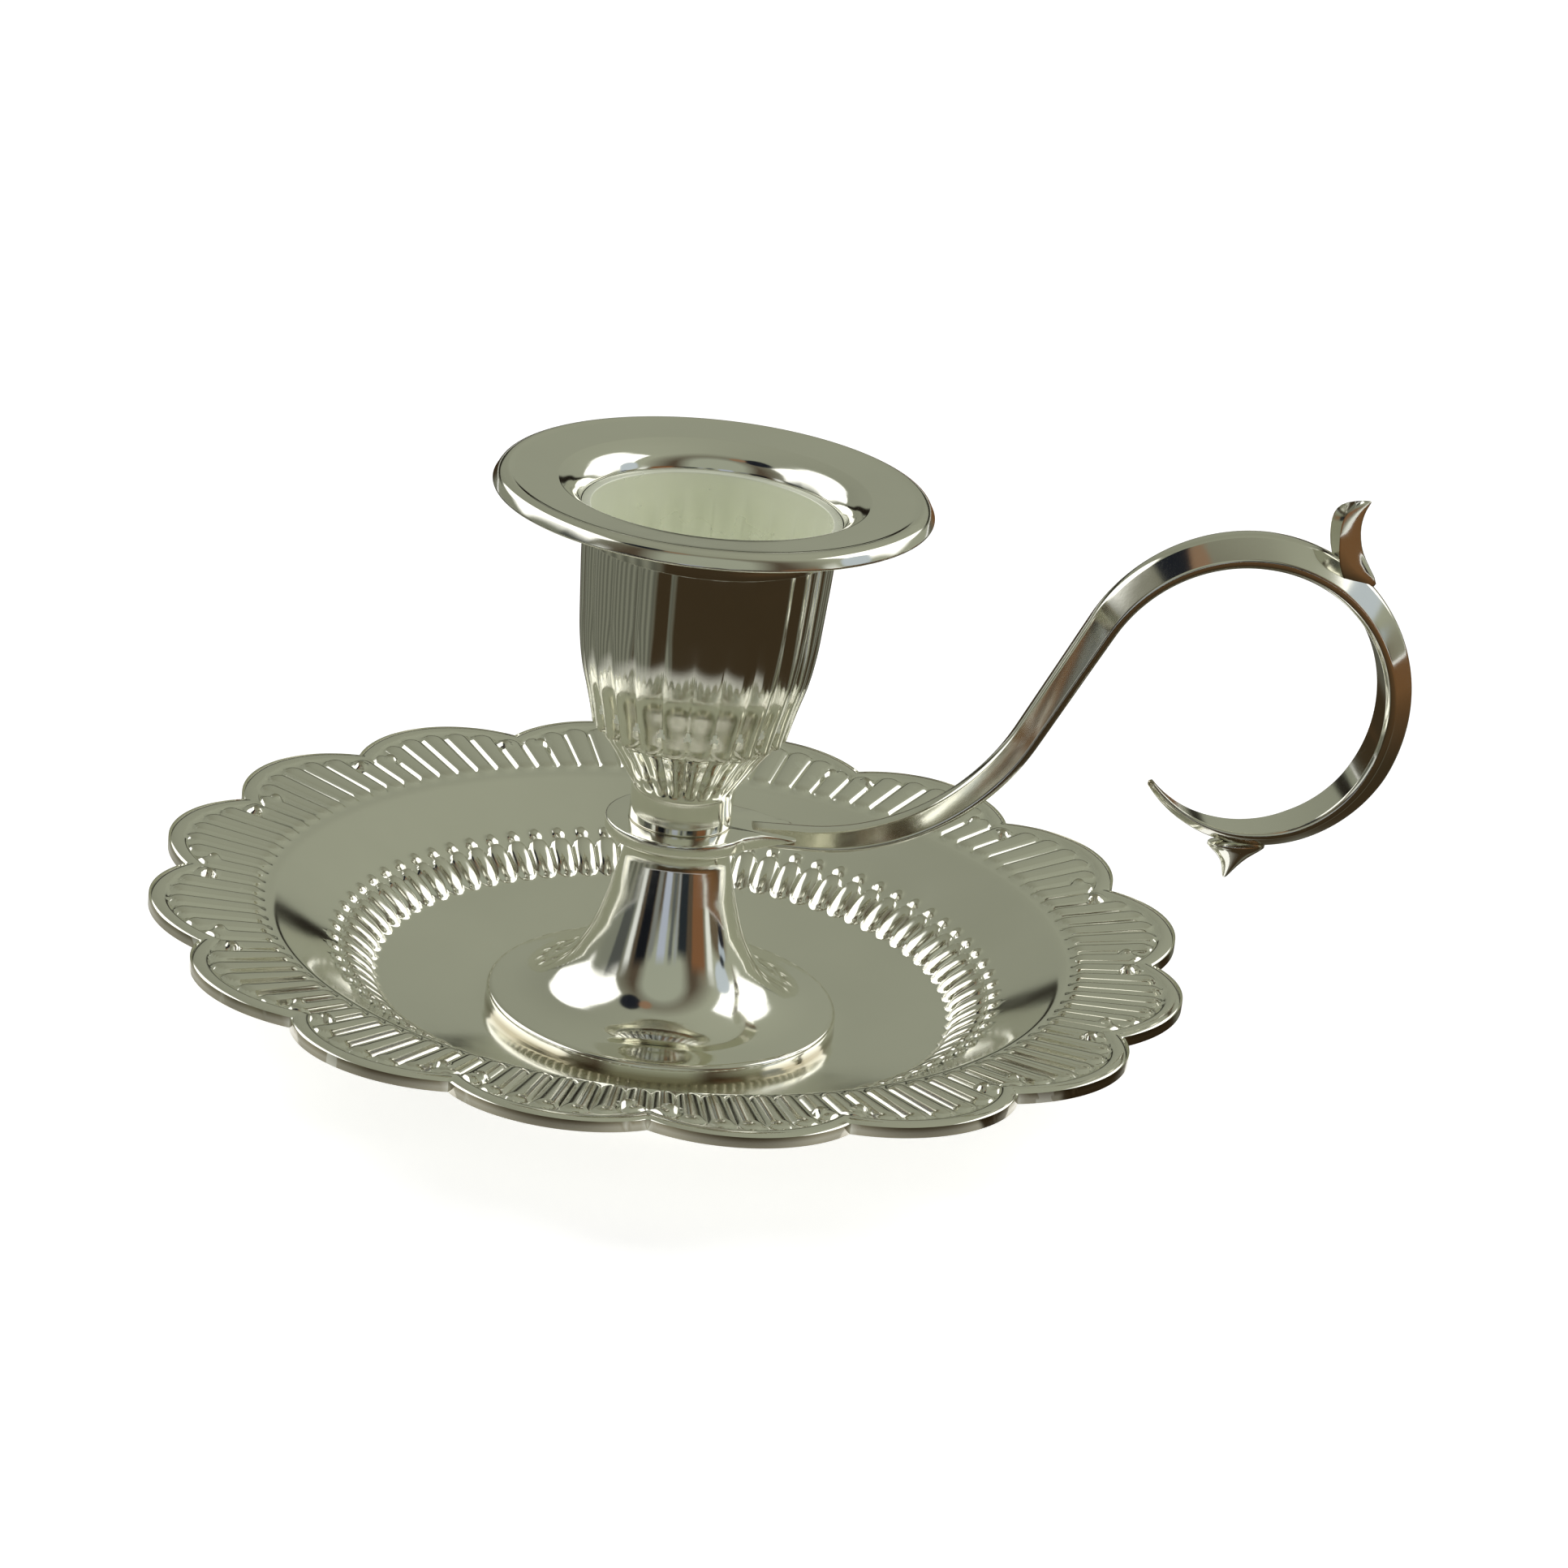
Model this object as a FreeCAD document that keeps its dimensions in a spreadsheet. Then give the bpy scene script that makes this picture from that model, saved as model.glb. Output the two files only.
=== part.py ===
"""Chamberstick with a finger loop: scalloped saucer, foot column, handle, fluted cup and drip brim.

Millimetres, +Z up, the origin on the table at the centre of the saucer's resting face.
The handle runs along +X. One screw from below clamps saucer, column, handle and cup together.
"""
import FreeCAD, Part
import math
import os
import Sketcher
from FreeCAD import Vector

doc = FreeCAD.newDocument("chamberstick")

# Driving dimensions
# Each one is a cell of the sheet; lengths in millimetres, angles in degrees.
LENGTHS = {
    # one overrun serves every cut
    "overrun": 1.0,
    # saucer: the sheet, its turned section and its scalloped edge
    "saucer_wall": 1.0,
    "saucer_tip_radius": 48.85,
    "saucer_notch_radius": 45.8,
    "saucer_tip_height": 10.9,
    "well_radius": 37.1,
    "well_height": 9.7,
    "well_bend_radius": 36.4,
    "well_bend_height": 8.6,
    "band_outer_radius": 31.0,
    "band_outer_height": 5.4,
    "band_inner_radius": 26.0,
    "band_inner_height": 4.5,
    "floor_margin": 0.7,
    "dome_base_radius": 10.4,
    "dome_top_radius": 6.0,
    # saucer: relief
    "lip_wire_radius": 0.65,
    "lip_inset": 0.6,
    "lobe_circle_radius": 27.6,
    "lobe_length": 3.7,
    "lobe_width": 1.7,
    "lobe_sink": 0.05,
    "bead_circle_radius": 30.0,
    "bead_radius": 0.75,
    "bead_sink": 0.1,
    "rib_start_radius": 38.3,
    "rib_width": 1.5,
    "rib_sink": 0.2,
    "rib_edge_gap": 1.75,
    # foot column
    "foot_radius": 16.6,
    "foot_edge_height": 1.4,
    "foot_edge_round": 0.9,
    "foot_flat_radius": 12.6,
    "foot_crown": 0.3,
    "flare_arc_radius": 11.5,
    "flare_top_radius": 6.35,
    "flare_top_height": 11.8,
    "column_top_radius": 5.45,
    "column_wall": 1.25,
    "column_web": 3.0,
    "foot_seat_width": 4.6,
    # handle
    "eye_height": 19.0,
    "eye_thickness": 1.4,
    "eye_radius": 7.0,
    "bar_root_inset": 0.1,
    "bar_root_drop": 0.1,
    "bar_root_run": 5.0,
    "bar_first_arc": 21.2,
    "bar_straight": 12.8,
    "loop_arc": 15.3,
    "tail_arc": 12.4,
    "bar_width": 5.0,
    "bar_root_thickness": 1.4,
    "bar_rise_thickness": 2.0,
    "bar_loop_thickness": 2.7,
    "bar_low_thickness": 2.1,
    "tail_width": 0.9,
    "tail_thickness": 0.6,
    "bar_chamfer": 0.55,
    "eye_web_start": 4.5,
    "eye_web_end": 11.0,
    "eye_web_width": 10.0,
    "eye_web_arc": 7.0,
    "thumb_leaf_foot": 47.6,
    "thumb_leaf_tip": 56.1,
    "thumb_leaf_edge": 57.9,
    "thumb_leaf_depth": 5.4,
    "thumb_leaf_width": 4.4,
    "tail_thorn_height": 3.2,
    "tail_thorn_width": 2.4,
    "tail_thorn_length": 5.0,
    "tail_thorn_lean": 0.8,
    # candle cup
    "neck_radius": 4.9,
    "neck_height": 3.7,
    "calyx_height": 5.2,
    "calyx_top_radius": 8.6,
    "cup_base_radius": 9.4,
    "cup_base_step": 0.3,
    "cup_belly_radius": 10.8,
    "cup_belly_rise": 5.8,
    "cup_side_radius": 11.9,
    "cup_reed_top": 46.6,
    "cup_reed_depth": 0.3,
    "cup_reed_land": 0.1,
    "cup_shoulder_radius": 12.9,
    "cup_shoulder_height": 48.3,
    "cup_mouth_height": 50.7,
    "cup_floor_thickness": 2.0,
    "candle_diameter": 22.0,
    "candle_play": 0.1,
    "cup_wall": 0.9,
    "socket_depth": 5.0,
    "cup_lower_bore_radius": 7.6,
    # drip brim
    "brim_radius": 20.3,
    "brim_height": 53.5,
    "brim_dish": 0.45,
    "brim_thickness": 0.9,
    "brim_roll": 0.65,
    "funnel_top_radius": 14.4,
    "funnel_drop": 2.1,
    "collar_wall": 0.8,
    # clamping screw and its washers
    "screw_radius": 2.0,
    "screw_head_radius": 4.0,
    "screw_head_height": 2.4,
    "screw_length": 22.0,
    "screw_slot_width": 1.2,
    "screw_slot_depth": 1.2,
    "screw_head_round": 0.6,
    "screw_lift": 0.6,
    "spring_washer_radius": 3.8,
    "spring_washer_thickness": 0.9,
    "spring_washer_gap": 0.8,
    "flat_washer_radius": 4.5,
    "flat_washer_thickness": 0.8,
    # clearances of the fits
    "screw_play": 0.15,
    "thread_play": 0.05,
    "spigot_play": 0.1,
    "brim_play": 0.05,
    "spigot_radius": 3.4,
    "tap_wall": 2.0,
}
ANGLES = {
    "saucer_turn": 4.25,
    "bar_root_angle": -1.8,
    "bar_first_turn": 64.9,
    "loop_turn": 172.7,
    "tail_turn": 121.9,
}
COUNTS = {
    "petal_count": 16,
    "ribs_per_petal": 7,
    "lobes_per_petal": 5,
    "reed_count": 24,
}

sheet = doc.addObject("Spreadsheet::Sheet", "sizes")
for row, (name, amount) in enumerate({**LENGTHS, **ANGLES, **COUNTS}.items(), start=1):
    sheet.set(f"A{row}", name.replace("_", " "))
    sheet.set(f"B{row}", str(amount))
    sheet.setAlias(f"B{row}", name)
doc.recompute()


# Sizes that know both their value and the sheet's expression for it
class Size:
    def __init__(self, value, text):
        self.value = value
        self.text = text

    def _with(self, other, sign, value):
        other_text = other.text if isinstance(other, Size) else repr(other)
        return Size(value, f"({self.text} {sign} {other_text})")

    def __add__(self, other):
        return self._with(other, "+", self.value + number(other))

    def __sub__(self, other):
        return self._with(other, "-", self.value - number(other))

    def __mul__(self, other):
        return self._with(other, "*", self.value * number(other))

    def __truediv__(self, other):
        return self._with(other, "/", self.value / number(other))


def number(size):
    return size.value if isinstance(size, Size) else size


def cell(name):
    return Size(float(sheet.get(name)), f"sizes.{name}")


HALF_SHARE = 0.5

# Heights of the stack, from the table up
floor_top = cell("saucer_wall")
foot_top = floor_top + cell("foot_edge_height")
eye_top = cell("eye_height") + cell("eye_thickness")
head_top = cell("screw_lift") + cell("screw_head_height")
spring_top = head_top + cell("spring_washer_thickness")
dome_under = spring_top + cell("flat_washer_thickness")
dome_top = dome_under + cell("saucer_wall")
neck_top = eye_top + cell("neck_height")
calyx_top = neck_top + cell("calyx_height")
cup_base = calyx_top + cell("cup_base_step")
spigot_bottom = cell("eye_height") - cell("column_web") * HALF_SHARE
screw_top = head_top + cell("screw_length")
candle_radius = cell("candle_diameter") * HALF_SHARE + cell("candle_play")
mouth_radius = candle_radius + cell("cup_wall")
screw_hole = cell("screw_radius") + cell("screw_play")
register_hole = cell("spigot_radius") + cell("spigot_play")


# Helpers for bodies and sketches
def plane_of(body, role):
    return next(part for part in body.Origin.OriginFeatures if part.Role == role)


def closed_sketch(body, name, corners, role="XZ_Plane"):
    """A closed outline: corners are (x, y) or (x, y, arc_radius, side) for the run to the next one.

    side is +1 where the arc bulges to the left of its run, -1 to the right.
    """
    sketch = body.newObject("Sketcher::SketchObject", name)
    sketch.AttachmentSupport = [(plane_of(body, role), "")]
    sketch.MapMode = "FlatFace"
    count = len(corners)
    for index, corner in enumerate(corners):
        following = corners[(index + 1) % count]
        start = Vector(number(corner[0]), number(corner[1]), 0)
        end = Vector(number(following[0]), number(following[1]), 0)
        if len(corner) == 2:
            sketch.addGeometry(Part.LineSegment(start, end), False)
        else:
            middle = arc_middle(start, end, number(corner[2]), corner[3])
            sketch.addGeometry(Part.Arc(start, middle, end), False)
    ends = [curve_ends(sketch, index, corners) for index in range(count)]
    for index in range(count):
        following = (index + 1) % count
        sketch.addConstraint(Sketcher.Constraint(
            "Coincident", index, ends[index][1], following, ends[following][0]))
    for index, corner in enumerate(corners):
        pin_point(sketch, index, ends[index][0], corner[0], corner[1])
        if len(corner) > 2:
            bind(sketch, Sketcher.Constraint("Radius", index, number(corner[2])), corner[2])
    return sketch


def arc_middle(start, end, radius, side):
    """The middle point of the short arc from start to end in a level or drawn plane."""
    chord = end - start
    left = Vector(-chord.y, chord.x, 0).normalize()
    half = chord.Length * HALF_SHARE
    rise = radius - math.sqrt(max(radius**2 - half**2, 0))
    return start + chord * HALF_SHARE + left * (side * rise)


def curve_ends(sketch, index, corners):
    """Which of the curve's two ends is the corner that it starts from."""
    start = sketch.getPoint(index, 1)
    corner = Vector(number(corners[index][0]), number(corners[index][1]), 0)
    other = sketch.getPoint(index, 2)
    return (1, 2) if start.distanceToPoint(corner) < other.distanceToPoint(corner) else (2, 1)


def pin_point(sketch, curve, end, x, y):
    for kind, axis, size in (("DistanceX", -2, x), ("DistanceY", -1, y)):
        if number(size) == 0:
            sketch.addConstraint(Sketcher.Constraint("PointOnObject", curve, end, axis))
        else:
            bind(sketch, Sketcher.Constraint(kind, curve, end, number(size)), size)


def bind(sketch, constraint, size):
    index = sketch.addConstraint(constraint)
    sketch.setExpression(f"Constraints[{index}]", size.text)


def new_body(label):
    body = doc.addObject("PartDesign::Body", label)
    body.Label = label
    return body


def turned_body(label, corners):
    """A body made on the lathe: one closed section turned about Z."""
    body = new_body(label)
    sketch = closed_sketch(body, label + "_section", corners)
    turning = body.newObject("PartDesign::Revolution", label + "_turning")
    turning.Profile = sketch
    turning.ReferenceAxis = (sketch, ["V_Axis"])
    turning.Angle = 360
    return body


def code_feature(label, shape):
    feature = doc.addObject("Part::Feature", label)
    feature.Label = label
    feature.Shape = shape
    return feature


def value(name):
    return cell(name).value


def at(radius, angle, height=0.0):
    return Vector(radius * math.cos(angle), radius * math.sin(angle), height)


AXIS = Vector(0, 0, 1)
ORIGIN = Vector(0, 0, 0)
FULL_TURN = 360.0
HALF_TURN = 180.0


# Saucer
# One petal's sector is turned, trimmed and given its relief, and then repeated round the axis.
def saucer_top_line(outer_radius):
    """The upper side of the sheet from the screw hole to the edge, as (radius, height)."""
    wall = value("saucer_wall")
    border_slope = ((value("saucer_tip_height") - value("well_height"))
                    / (value("saucer_tip_radius") - value("well_radius")))
    edge_height = value("well_height") + (outer_radius - value("well_radius")) * border_slope
    return [
        (screw_hole.value, dome_top.value),
        (value("dome_top_radius"), dome_top.value),
        (value("dome_base_radius"), wall),
        (value("foot_radius") + value("floor_margin"), wall),
        (value("band_inner_radius"), value("band_inner_height")),
        (value("band_outer_radius"), value("band_outer_height")),
        (value("well_bend_radius"), value("well_bend_height")),
        (value("well_radius"), value("well_height")),
        (outer_radius, edge_height),
    ]


def lower_side(line, wall):
    """The same line moved down by the wall, square to each run, from the edge back to the hole."""
    runs = list(zip(line, line[1:]))
    units = []
    for (x0, y0), (x1, y1) in runs:
        length = math.hypot(x1 - x0, y1 - y0)
        units.append(((x1 - x0) / length, (y1 - y0) / length))
    moved = [(line[0][0], line[0][1] - wall)]
    for point, before, after in zip(line[1:], units, units[1:]):
        share = wall / (1 + before[0] * after[0] + before[1] * after[1])
        moved.append((point[0] + (before[1] + after[1]) * share,
                      point[1] - (before[0] + after[0]) * share))
    moved.append((line[-1][0], line[-1][1] - wall / units[-1][0]))
    return moved[::-1]


def height_at(line, radius):
    for (x0, y0), (x1, y1) in zip(line, line[1:]):
        if x0 <= radius <= x1:
            return y0 + (y1 - y0) * (radius - x0) / (x1 - x0)
    return line[-1][1]


def slope_at(line, radius):
    for (x0, y0), (x1, y1) in zip(line, line[1:]):
        if x0 <= radius <= x1:
            return math.atan2(y1 - y0, x1 - x0)
    return 0.0


def petal_arc_radius(tip, half_chord, chord_distance):
    rise = tip - chord_distance
    return (half_chord**2 + rise**2) / (2 * rise)


def relief_drop(line, radius, angle, length, width, sink):
    """A long drop with round ends that lies on the sheet, pointing outward, half sunk into it."""
    end_radius = width * HALF_SHARE
    reach = length * HALF_SHARE
    straight = max(reach - end_radius, 0)
    if straight == 0:
        drop = Part.makeSphere(end_radius)
    else:
        left, right = Vector(-straight, 0, 0), Vector(straight, 0, 0)
        top = Vector(0, end_radius, 0)
        slant = end_radius * math.sqrt(HALF_SHARE)
        left_end = Part.Arc(Vector(-reach, 0, 0), left + Vector(-slant, slant, 0), left + top)
        right_end = Part.Arc(right + top, right + Vector(slant, slant, 0), Vector(reach, 0, 0))
        profile = Part.Wire([
            left_end.toShape(), Part.makeLine(left + top, right + top), right_end.toShape(),
            Part.makeLine(Vector(reach, 0, 0), Vector(-reach, 0, 0))])
        drop = Part.Face(profile).revolve(ORIGIN, Vector(1, 0, 0), FULL_TURN)
    drop.rotate(ORIGIN, Vector(0, 1, 0), -math.degrees(slope_at(line, radius)))
    drop.translate(Vector(radius, 0, height_at(line, radius) - sink))
    drop.rotate(ORIGIN, AXIS, math.degrees(angle))
    return drop


def saucer_shape():
    petals = round(value("petal_count"))
    half_angle = math.pi / petals
    tip = value("saucer_tip_radius")
    notch = value("saucer_notch_radius")
    blank_radius = tip + value("overrun")
    below = -value("overrun")
    above = dome_top.value + value("saucer_tip_height")

    line = saucer_top_line(blank_radius)
    outline = [Vector(x, 0, z) for x, z in line + lower_side(line, value("saucer_wall"))]
    section = Part.Face(Part.makePolygon(outline + outline[:1]))
    section.rotate(ORIGIN, AXIS, -math.degrees(half_angle))
    sector = section.revolve(ORIGIN, AXIS, math.degrees(2 * half_angle))

    left, right = at(notch, half_angle, below), at(notch, -half_angle, below)
    petal_edge = Part.Arc(right, at(tip, 0, below), left).toShape()
    centre = Vector(0, 0, below)
    plan = Part.Wire([Part.makeLine(centre, right), petal_edge, Part.makeLine(left, centre)])
    petal = sector.common(Part.Face(plan).extrude(Vector(0, 0, above)))

    drops = saucer_relief(line, half_angle, left.y, left.x)
    petal = petal.fuse(drops)
    petal = petal.fuse(petal_lip(line, left.y, left.x))
    reach = blank_radius + value("overrun")
    wedge_plan = Part.makePolygon(
        [centre, at(reach, -half_angle, below), at(reach, half_angle, below), centre])
    petal = petal.common(Part.Face(wedge_plan).extrude(Vector(0, 0, above)))

    ring = []
    for index in range(petals):
        copy = petal.copy()
        copy.rotate(ORIGIN, AXIS, FULL_TURN * index / petals)
        ring.append(copy)
    return ring[0].fuse(ring[1:]).removeSplitter()


def saucer_relief(line, half_angle, half_chord, chord_distance):
    """The gadroon lobes with their outer beads, and the ribs of one petal."""
    drops = []
    lobes = round(value("lobes_per_petal"))
    for index in range(lobes):
        angle = (index + HALF_SHARE) * 2 * half_angle / lobes - half_angle
        drops.append(relief_drop(line, value("lobe_circle_radius"), angle, value("lobe_length"),
                                 value("lobe_width"), value("lobe_sink")))
        bead = 2 * value("bead_radius")
        drops.append(relief_drop(line, value("bead_circle_radius"), angle, bead, bead,
                                 value("bead_sink")))
    tip = value("saucer_tip_radius")
    arc_radius = petal_arc_radius(tip, half_chord, chord_distance)
    arc_centre = tip - arc_radius
    ribs = round(value("ribs_per_petal"))
    for index in range(ribs):
        angle = (index + HALF_SHARE) * 2 * half_angle / ribs - half_angle
        sideways = arc_centre * math.sin(angle)
        edge = arc_centre * math.cos(angle) + math.sqrt(arc_radius**2 - sideways**2)
        length = edge - value("rib_edge_gap") - value("rib_start_radius")
        middle = value("rib_start_radius") + length * HALF_SHARE
        drops.append(relief_drop(line, middle, angle, length, value("rib_width"),
                                 value("rib_sink")))
    return drops


def petal_lip(line, half_chord, chord_distance):
    """The round wire edge of one petal: part of a ring about the petal's own arc centre."""
    tip = value("saucer_tip_radius")
    arc_radius = petal_arc_radius(tip, half_chord, chord_distance)
    arc_centre = Vector(tip - arc_radius, 0, 0)
    wire_radius = arc_radius - value("lip_inset")
    wire_height = height_at(line, tip - value("lip_inset")) - value("saucer_wall") * HALF_SHARE
    reach = math.degrees(math.asin(min(1.0, half_chord / wire_radius)))
    lip = Part.makeTorus(wire_radius, value("lip_wire_radius"), arc_centre + AXIS * wire_height,
                         AXIS, 0, FULL_TURN, 2 * reach)
    lip.rotate(arc_centre, AXIS, -reach)
    return lip


saucer = code_feature("saucer", saucer_shape())
saucer.setExpression("Placement.Rotation.Angle", cell("saucer_turn").text)


# Foot column: a hollow stem that flares into a disc and stands on the saucer's floor
seat_inner = cell("foot_radius") - cell("foot_seat_width")
foot_column = turned_body("foot_column", [
    (seat_inner, floor_top),
    (cell("foot_radius"), floor_top),
    (cell("foot_radius"), foot_top - cell("foot_edge_round"), cell("foot_edge_round"), -1),
    (cell("foot_radius") - cell("foot_edge_round"), foot_top),
    (cell("foot_flat_radius"), foot_top + cell("foot_crown"), cell("flare_arc_radius"), 1),
    (cell("flare_top_radius"), cell("flare_top_height")),
    (cell("column_top_radius"), cell("eye_height")),
    (register_hole, cell("eye_height")),
    (register_hole, cell("eye_height") - cell("column_web")),
    (cell("column_top_radius") - cell("column_wall"), cell("eye_height") - cell("column_web")),
    (cell("flare_top_radius") - cell("column_wall"), cell("flare_top_height"),
     cell("flare_arc_radius") + cell("column_wall"), -1),
    (seat_inner - cell("foot_crown"), floor_top + cell("foot_edge_round")),
])


# Handle: a flat eye, a faceted bar bent into an S and a finger loop, a thumb leaf and a thorn
ROOT_STEPS = 2
FIRST_STEPS = 6
STRAIGHT_STEPS = 2
LOOP_STEPS = 12
TAIL_STEPS = 10
RISE_STATION = ROOT_STEPS + FIRST_STEPS
LOOP_STATION = RISE_STATION + STRAIGHT_STEPS
LOW_STATION = LOOP_STATION + LOOP_STEPS
TIP_STATION = LOW_STATION + TAIL_STEPS


def handle_path():
    """Stations along the middle of the bar: (x, z, heading)."""
    x = value("eye_radius") - value("bar_root_inset")
    z = eye_top.value - value("bar_root_thickness") * HALF_SHARE - value("bar_root_drop")
    heading = math.radians(value("bar_root_angle"))
    stations = [(x, z, heading)]

    def run(length, steps):
        x, z, heading = stations[-1]
        for step in range(steps):
            way = length * (step + 1) / steps
            stations.append((x + way * math.cos(heading), z + way * math.sin(heading), heading))

    def bend(radius, turn, steps):
        x, z, heading = stations[-1]
        side = math.copysign(1, turn)
        centre_x = x - side * radius * math.sin(heading)
        centre_z = z + side * radius * math.cos(heading)
        for step in range(steps):
            angle = heading + math.radians(turn) * (step + 1) / steps
            stations.append((centre_x + side * radius * math.sin(angle),
                             centre_z - side * radius * math.cos(angle), angle))

    run(value("bar_root_run"), ROOT_STEPS)
    bend(value("bar_first_arc"), value("bar_first_turn"), FIRST_STEPS)
    run(value("bar_straight"), STRAIGHT_STEPS)
    bend(value("loop_arc"), -value("loop_turn"), LOOP_STEPS)
    bend(value("tail_arc"), -value("tail_turn"), TAIL_STEPS)
    return stations


def blend(first, second, share):
    return first + (second - first) * share


def along(table, index):
    """The size at a station, between the stations that the table names."""
    for (i0, size0), (i1, size1) in zip(table, table[1:]):
        if i0 <= index <= i1:
            return blend(size0, size1, (index - i0) / (i1 - i0))
    return table[-1][1]


def bar_section(station, width, thickness, chamfer):
    """An eight-sided section square to the path."""
    x, z, heading = station
    normal = Vector(-math.sin(heading), 0, math.cos(heading))
    side = Vector(0, 1, 0)
    half_width, half_thick = width * HALF_SHARE, thickness * HALF_SHARE
    in_width, in_thick = half_width - chamfer, half_thick - chamfer
    corners = [(in_width, half_thick), (half_width, in_thick), (half_width, -in_thick),
               (in_width, -half_thick), (-in_width, -half_thick), (-half_width, -in_thick),
               (-half_width, in_thick), (-in_width, half_thick)]
    points = [Vector(x, 0, z) + side * across + normal * up for across, up in corners]
    return Part.makePolygon(points + points[:1])


CHAMFER_SHARE = 0.3
TAPER_STATION = LOW_STATION + TAIL_STEPS // 2


def handle_bar(stations):
    thickness_along = [
        (0, value("bar_root_thickness")), (ROOT_STEPS, value("bar_root_thickness")),
        (RISE_STATION, value("bar_rise_thickness")),
        (LOOP_STATION + LOOP_STEPS // 2, value("bar_loop_thickness")),
        (LOW_STATION, value("bar_loop_thickness")),
        (TAPER_STATION, value("bar_low_thickness")), (TIP_STATION, value("tail_thickness")),
    ]
    width_along = [(0, value("bar_width")), (TAPER_STATION, value("bar_width")),
                   (TIP_STATION, value("tail_width"))]
    sections = []
    for index, station in enumerate(stations):
        width, thickness = along(width_along, index), along(thickness_along, index)
        chamfer = min(value("bar_chamfer"), thickness * CHAMFER_SHARE, width * CHAMFER_SHARE)
        sections.append(bar_section(station, width, thickness, chamfer))
    return Part.makeLoft(sections, True, False)


def eye_web():
    """The plate that widens the bar into the eye, with a hollow curve on either side."""
    start, end = value("eye_web_start"), value("eye_web_end")
    wide, narrow = value("eye_web_width") * HALF_SHARE, value("bar_width") * HALF_SHARE
    bottom = value("eye_height")
    near, far = Vector(start, wide, bottom), Vector(end, narrow, bottom)
    bulge = arc_middle(near, far, value("eye_web_arc"), -1)
    other_bulge = Vector(bulge.x, -bulge.y, bottom)
    other_near, other_far = Vector(start, -wide, bottom), Vector(end, -narrow, bottom)
    plan = Part.Wire([
        Part.Arc(near, bulge, far).toShape(), Part.makeLine(far, other_far),
        Part.Arc(other_far, other_bulge, other_near).toShape(), Part.makeLine(other_near, near)])
    return Part.Face(plan).extrude(AXIS * value("eye_thickness"))


# Thumb leaf, from the foot up: shares of its height, spine depth, edge depth and half width
LEAF_SHARES = (
    (0.0, 1.0, 0.2, 0.5),
    (0.33, 0.66, 0.06, 0.9),
    (0.55, 0.5, 0.02, 1.0),
    (0.75, 0.46, 0.0, 0.9),
    (0.89, 0.52, 0.08, 0.62),
    (1.0, 0.62, 0.45, 0.12),
)
LEAF_WALL_SHARE = 0.16


def thumb_leaf():
    """A cupped leaf across the bar: its hollow faces the candle and its tip curls outward."""
    foot, depth = value("thumb_leaf_foot"), value("thumb_leaf_depth")
    height = value("thumb_leaf_tip") - foot
    sections = []
    for height_share, spine_share, edge_share, width_share in LEAF_SHARES:
        z = foot + height * height_share
        spine = value("thumb_leaf_edge") + depth * spine_share
        edge = value("thumb_leaf_edge") + depth * edge_share
        hollow = spine - depth * LEAF_WALL_SHARE
        half_width = value("thumb_leaf_width") * HALF_SHARE * width_share
        corners = [Vector(spine, 0, z), Vector(edge, half_width, z),
                   Vector(min(hollow, blend(edge, spine, HALF_SHARE)), 0, z),
                   Vector(edge, -half_width, z)]
        sections.append(Part.makePolygon(corners + corners[:1]))
    return Part.makeLoft(sections, True, True)


# Tail thorn, from the root out: shares of its height and of its root size
THORN_SHARES = ((0.0, 1.0), (0.3, 0.55), (0.65, 0.28), (1.0, 0.1))


def tail_thorn(station):
    """A small curved spike under the loop, its root sunk into the bar."""
    x, z, _ = station
    sections = []
    for height_share, size_share in THORN_SHARES:
        middle = Vector(x - value("tail_thorn_lean") * height_share**2, 0,
                        z - (value("bar_loop_thickness") * HALF_SHARE
                             + value("tail_thorn_height")) * height_share)
        half_length = value("tail_thorn_length") * HALF_SHARE * size_share
        half_width = value("tail_thorn_width") * HALF_SHARE * size_share
        corners = [middle + Vector(half_length, 0, 0), middle + Vector(0, half_width, 0),
                   middle - Vector(half_length, 0, 0), middle - Vector(0, half_width, 0)]
        sections.append(Part.makePolygon(corners + corners[:1]))
    return Part.makeLoft(sections, True, True)


def handle_shape():
    stations = handle_path()
    eye = Part.makeCylinder(value("eye_radius"), value("eye_thickness"),
                            Vector(0, 0, value("eye_height")))
    hole = Part.makeCylinder(register_hole.value, value("eye_thickness") + 2 * value("overrun"),
                             Vector(0, 0, value("eye_height") - value("overrun")))
    lowest = min(stations[LOOP_STATION:], key=lambda station: station[1])
    extras = [handle_bar(stations), eye_web(), thumb_leaf(), tail_thorn(lowest)]
    return eye.fuse(extras).cut(hole).removeSplitter()


handle = code_feature("handle", handle_shape())


# Candle cup: reeded body, fluted calyx, plain neck and the spigot that centres the handle's eye
def reeded_ring(height, crest_radius, depth):
    """A closed ring of arcs that bulge outward, one for each reed."""
    count = round(value("reed_count"))
    step = 2 * math.pi / count
    groove = crest_radius - depth
    arcs = []
    for index in range(count):
        first = index * step
        arcs.append(Part.Arc(at(groove, first, height),
                             at(crest_radius, first + step * HALF_SHARE, height),
                             at(groove, first + step, height)).toShape())
    return Part.Wire(arcs)


def reeded_loft(label, rings):
    sections = [code_feature(f"{label}_ring_{index}", reeded_ring(*ring))
                for index, ring in enumerate(rings, start=1)]
    loft = doc.addObject("Part::Loft", label)
    loft.Sections = sections
    loft.Solid = True
    return loft


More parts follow.
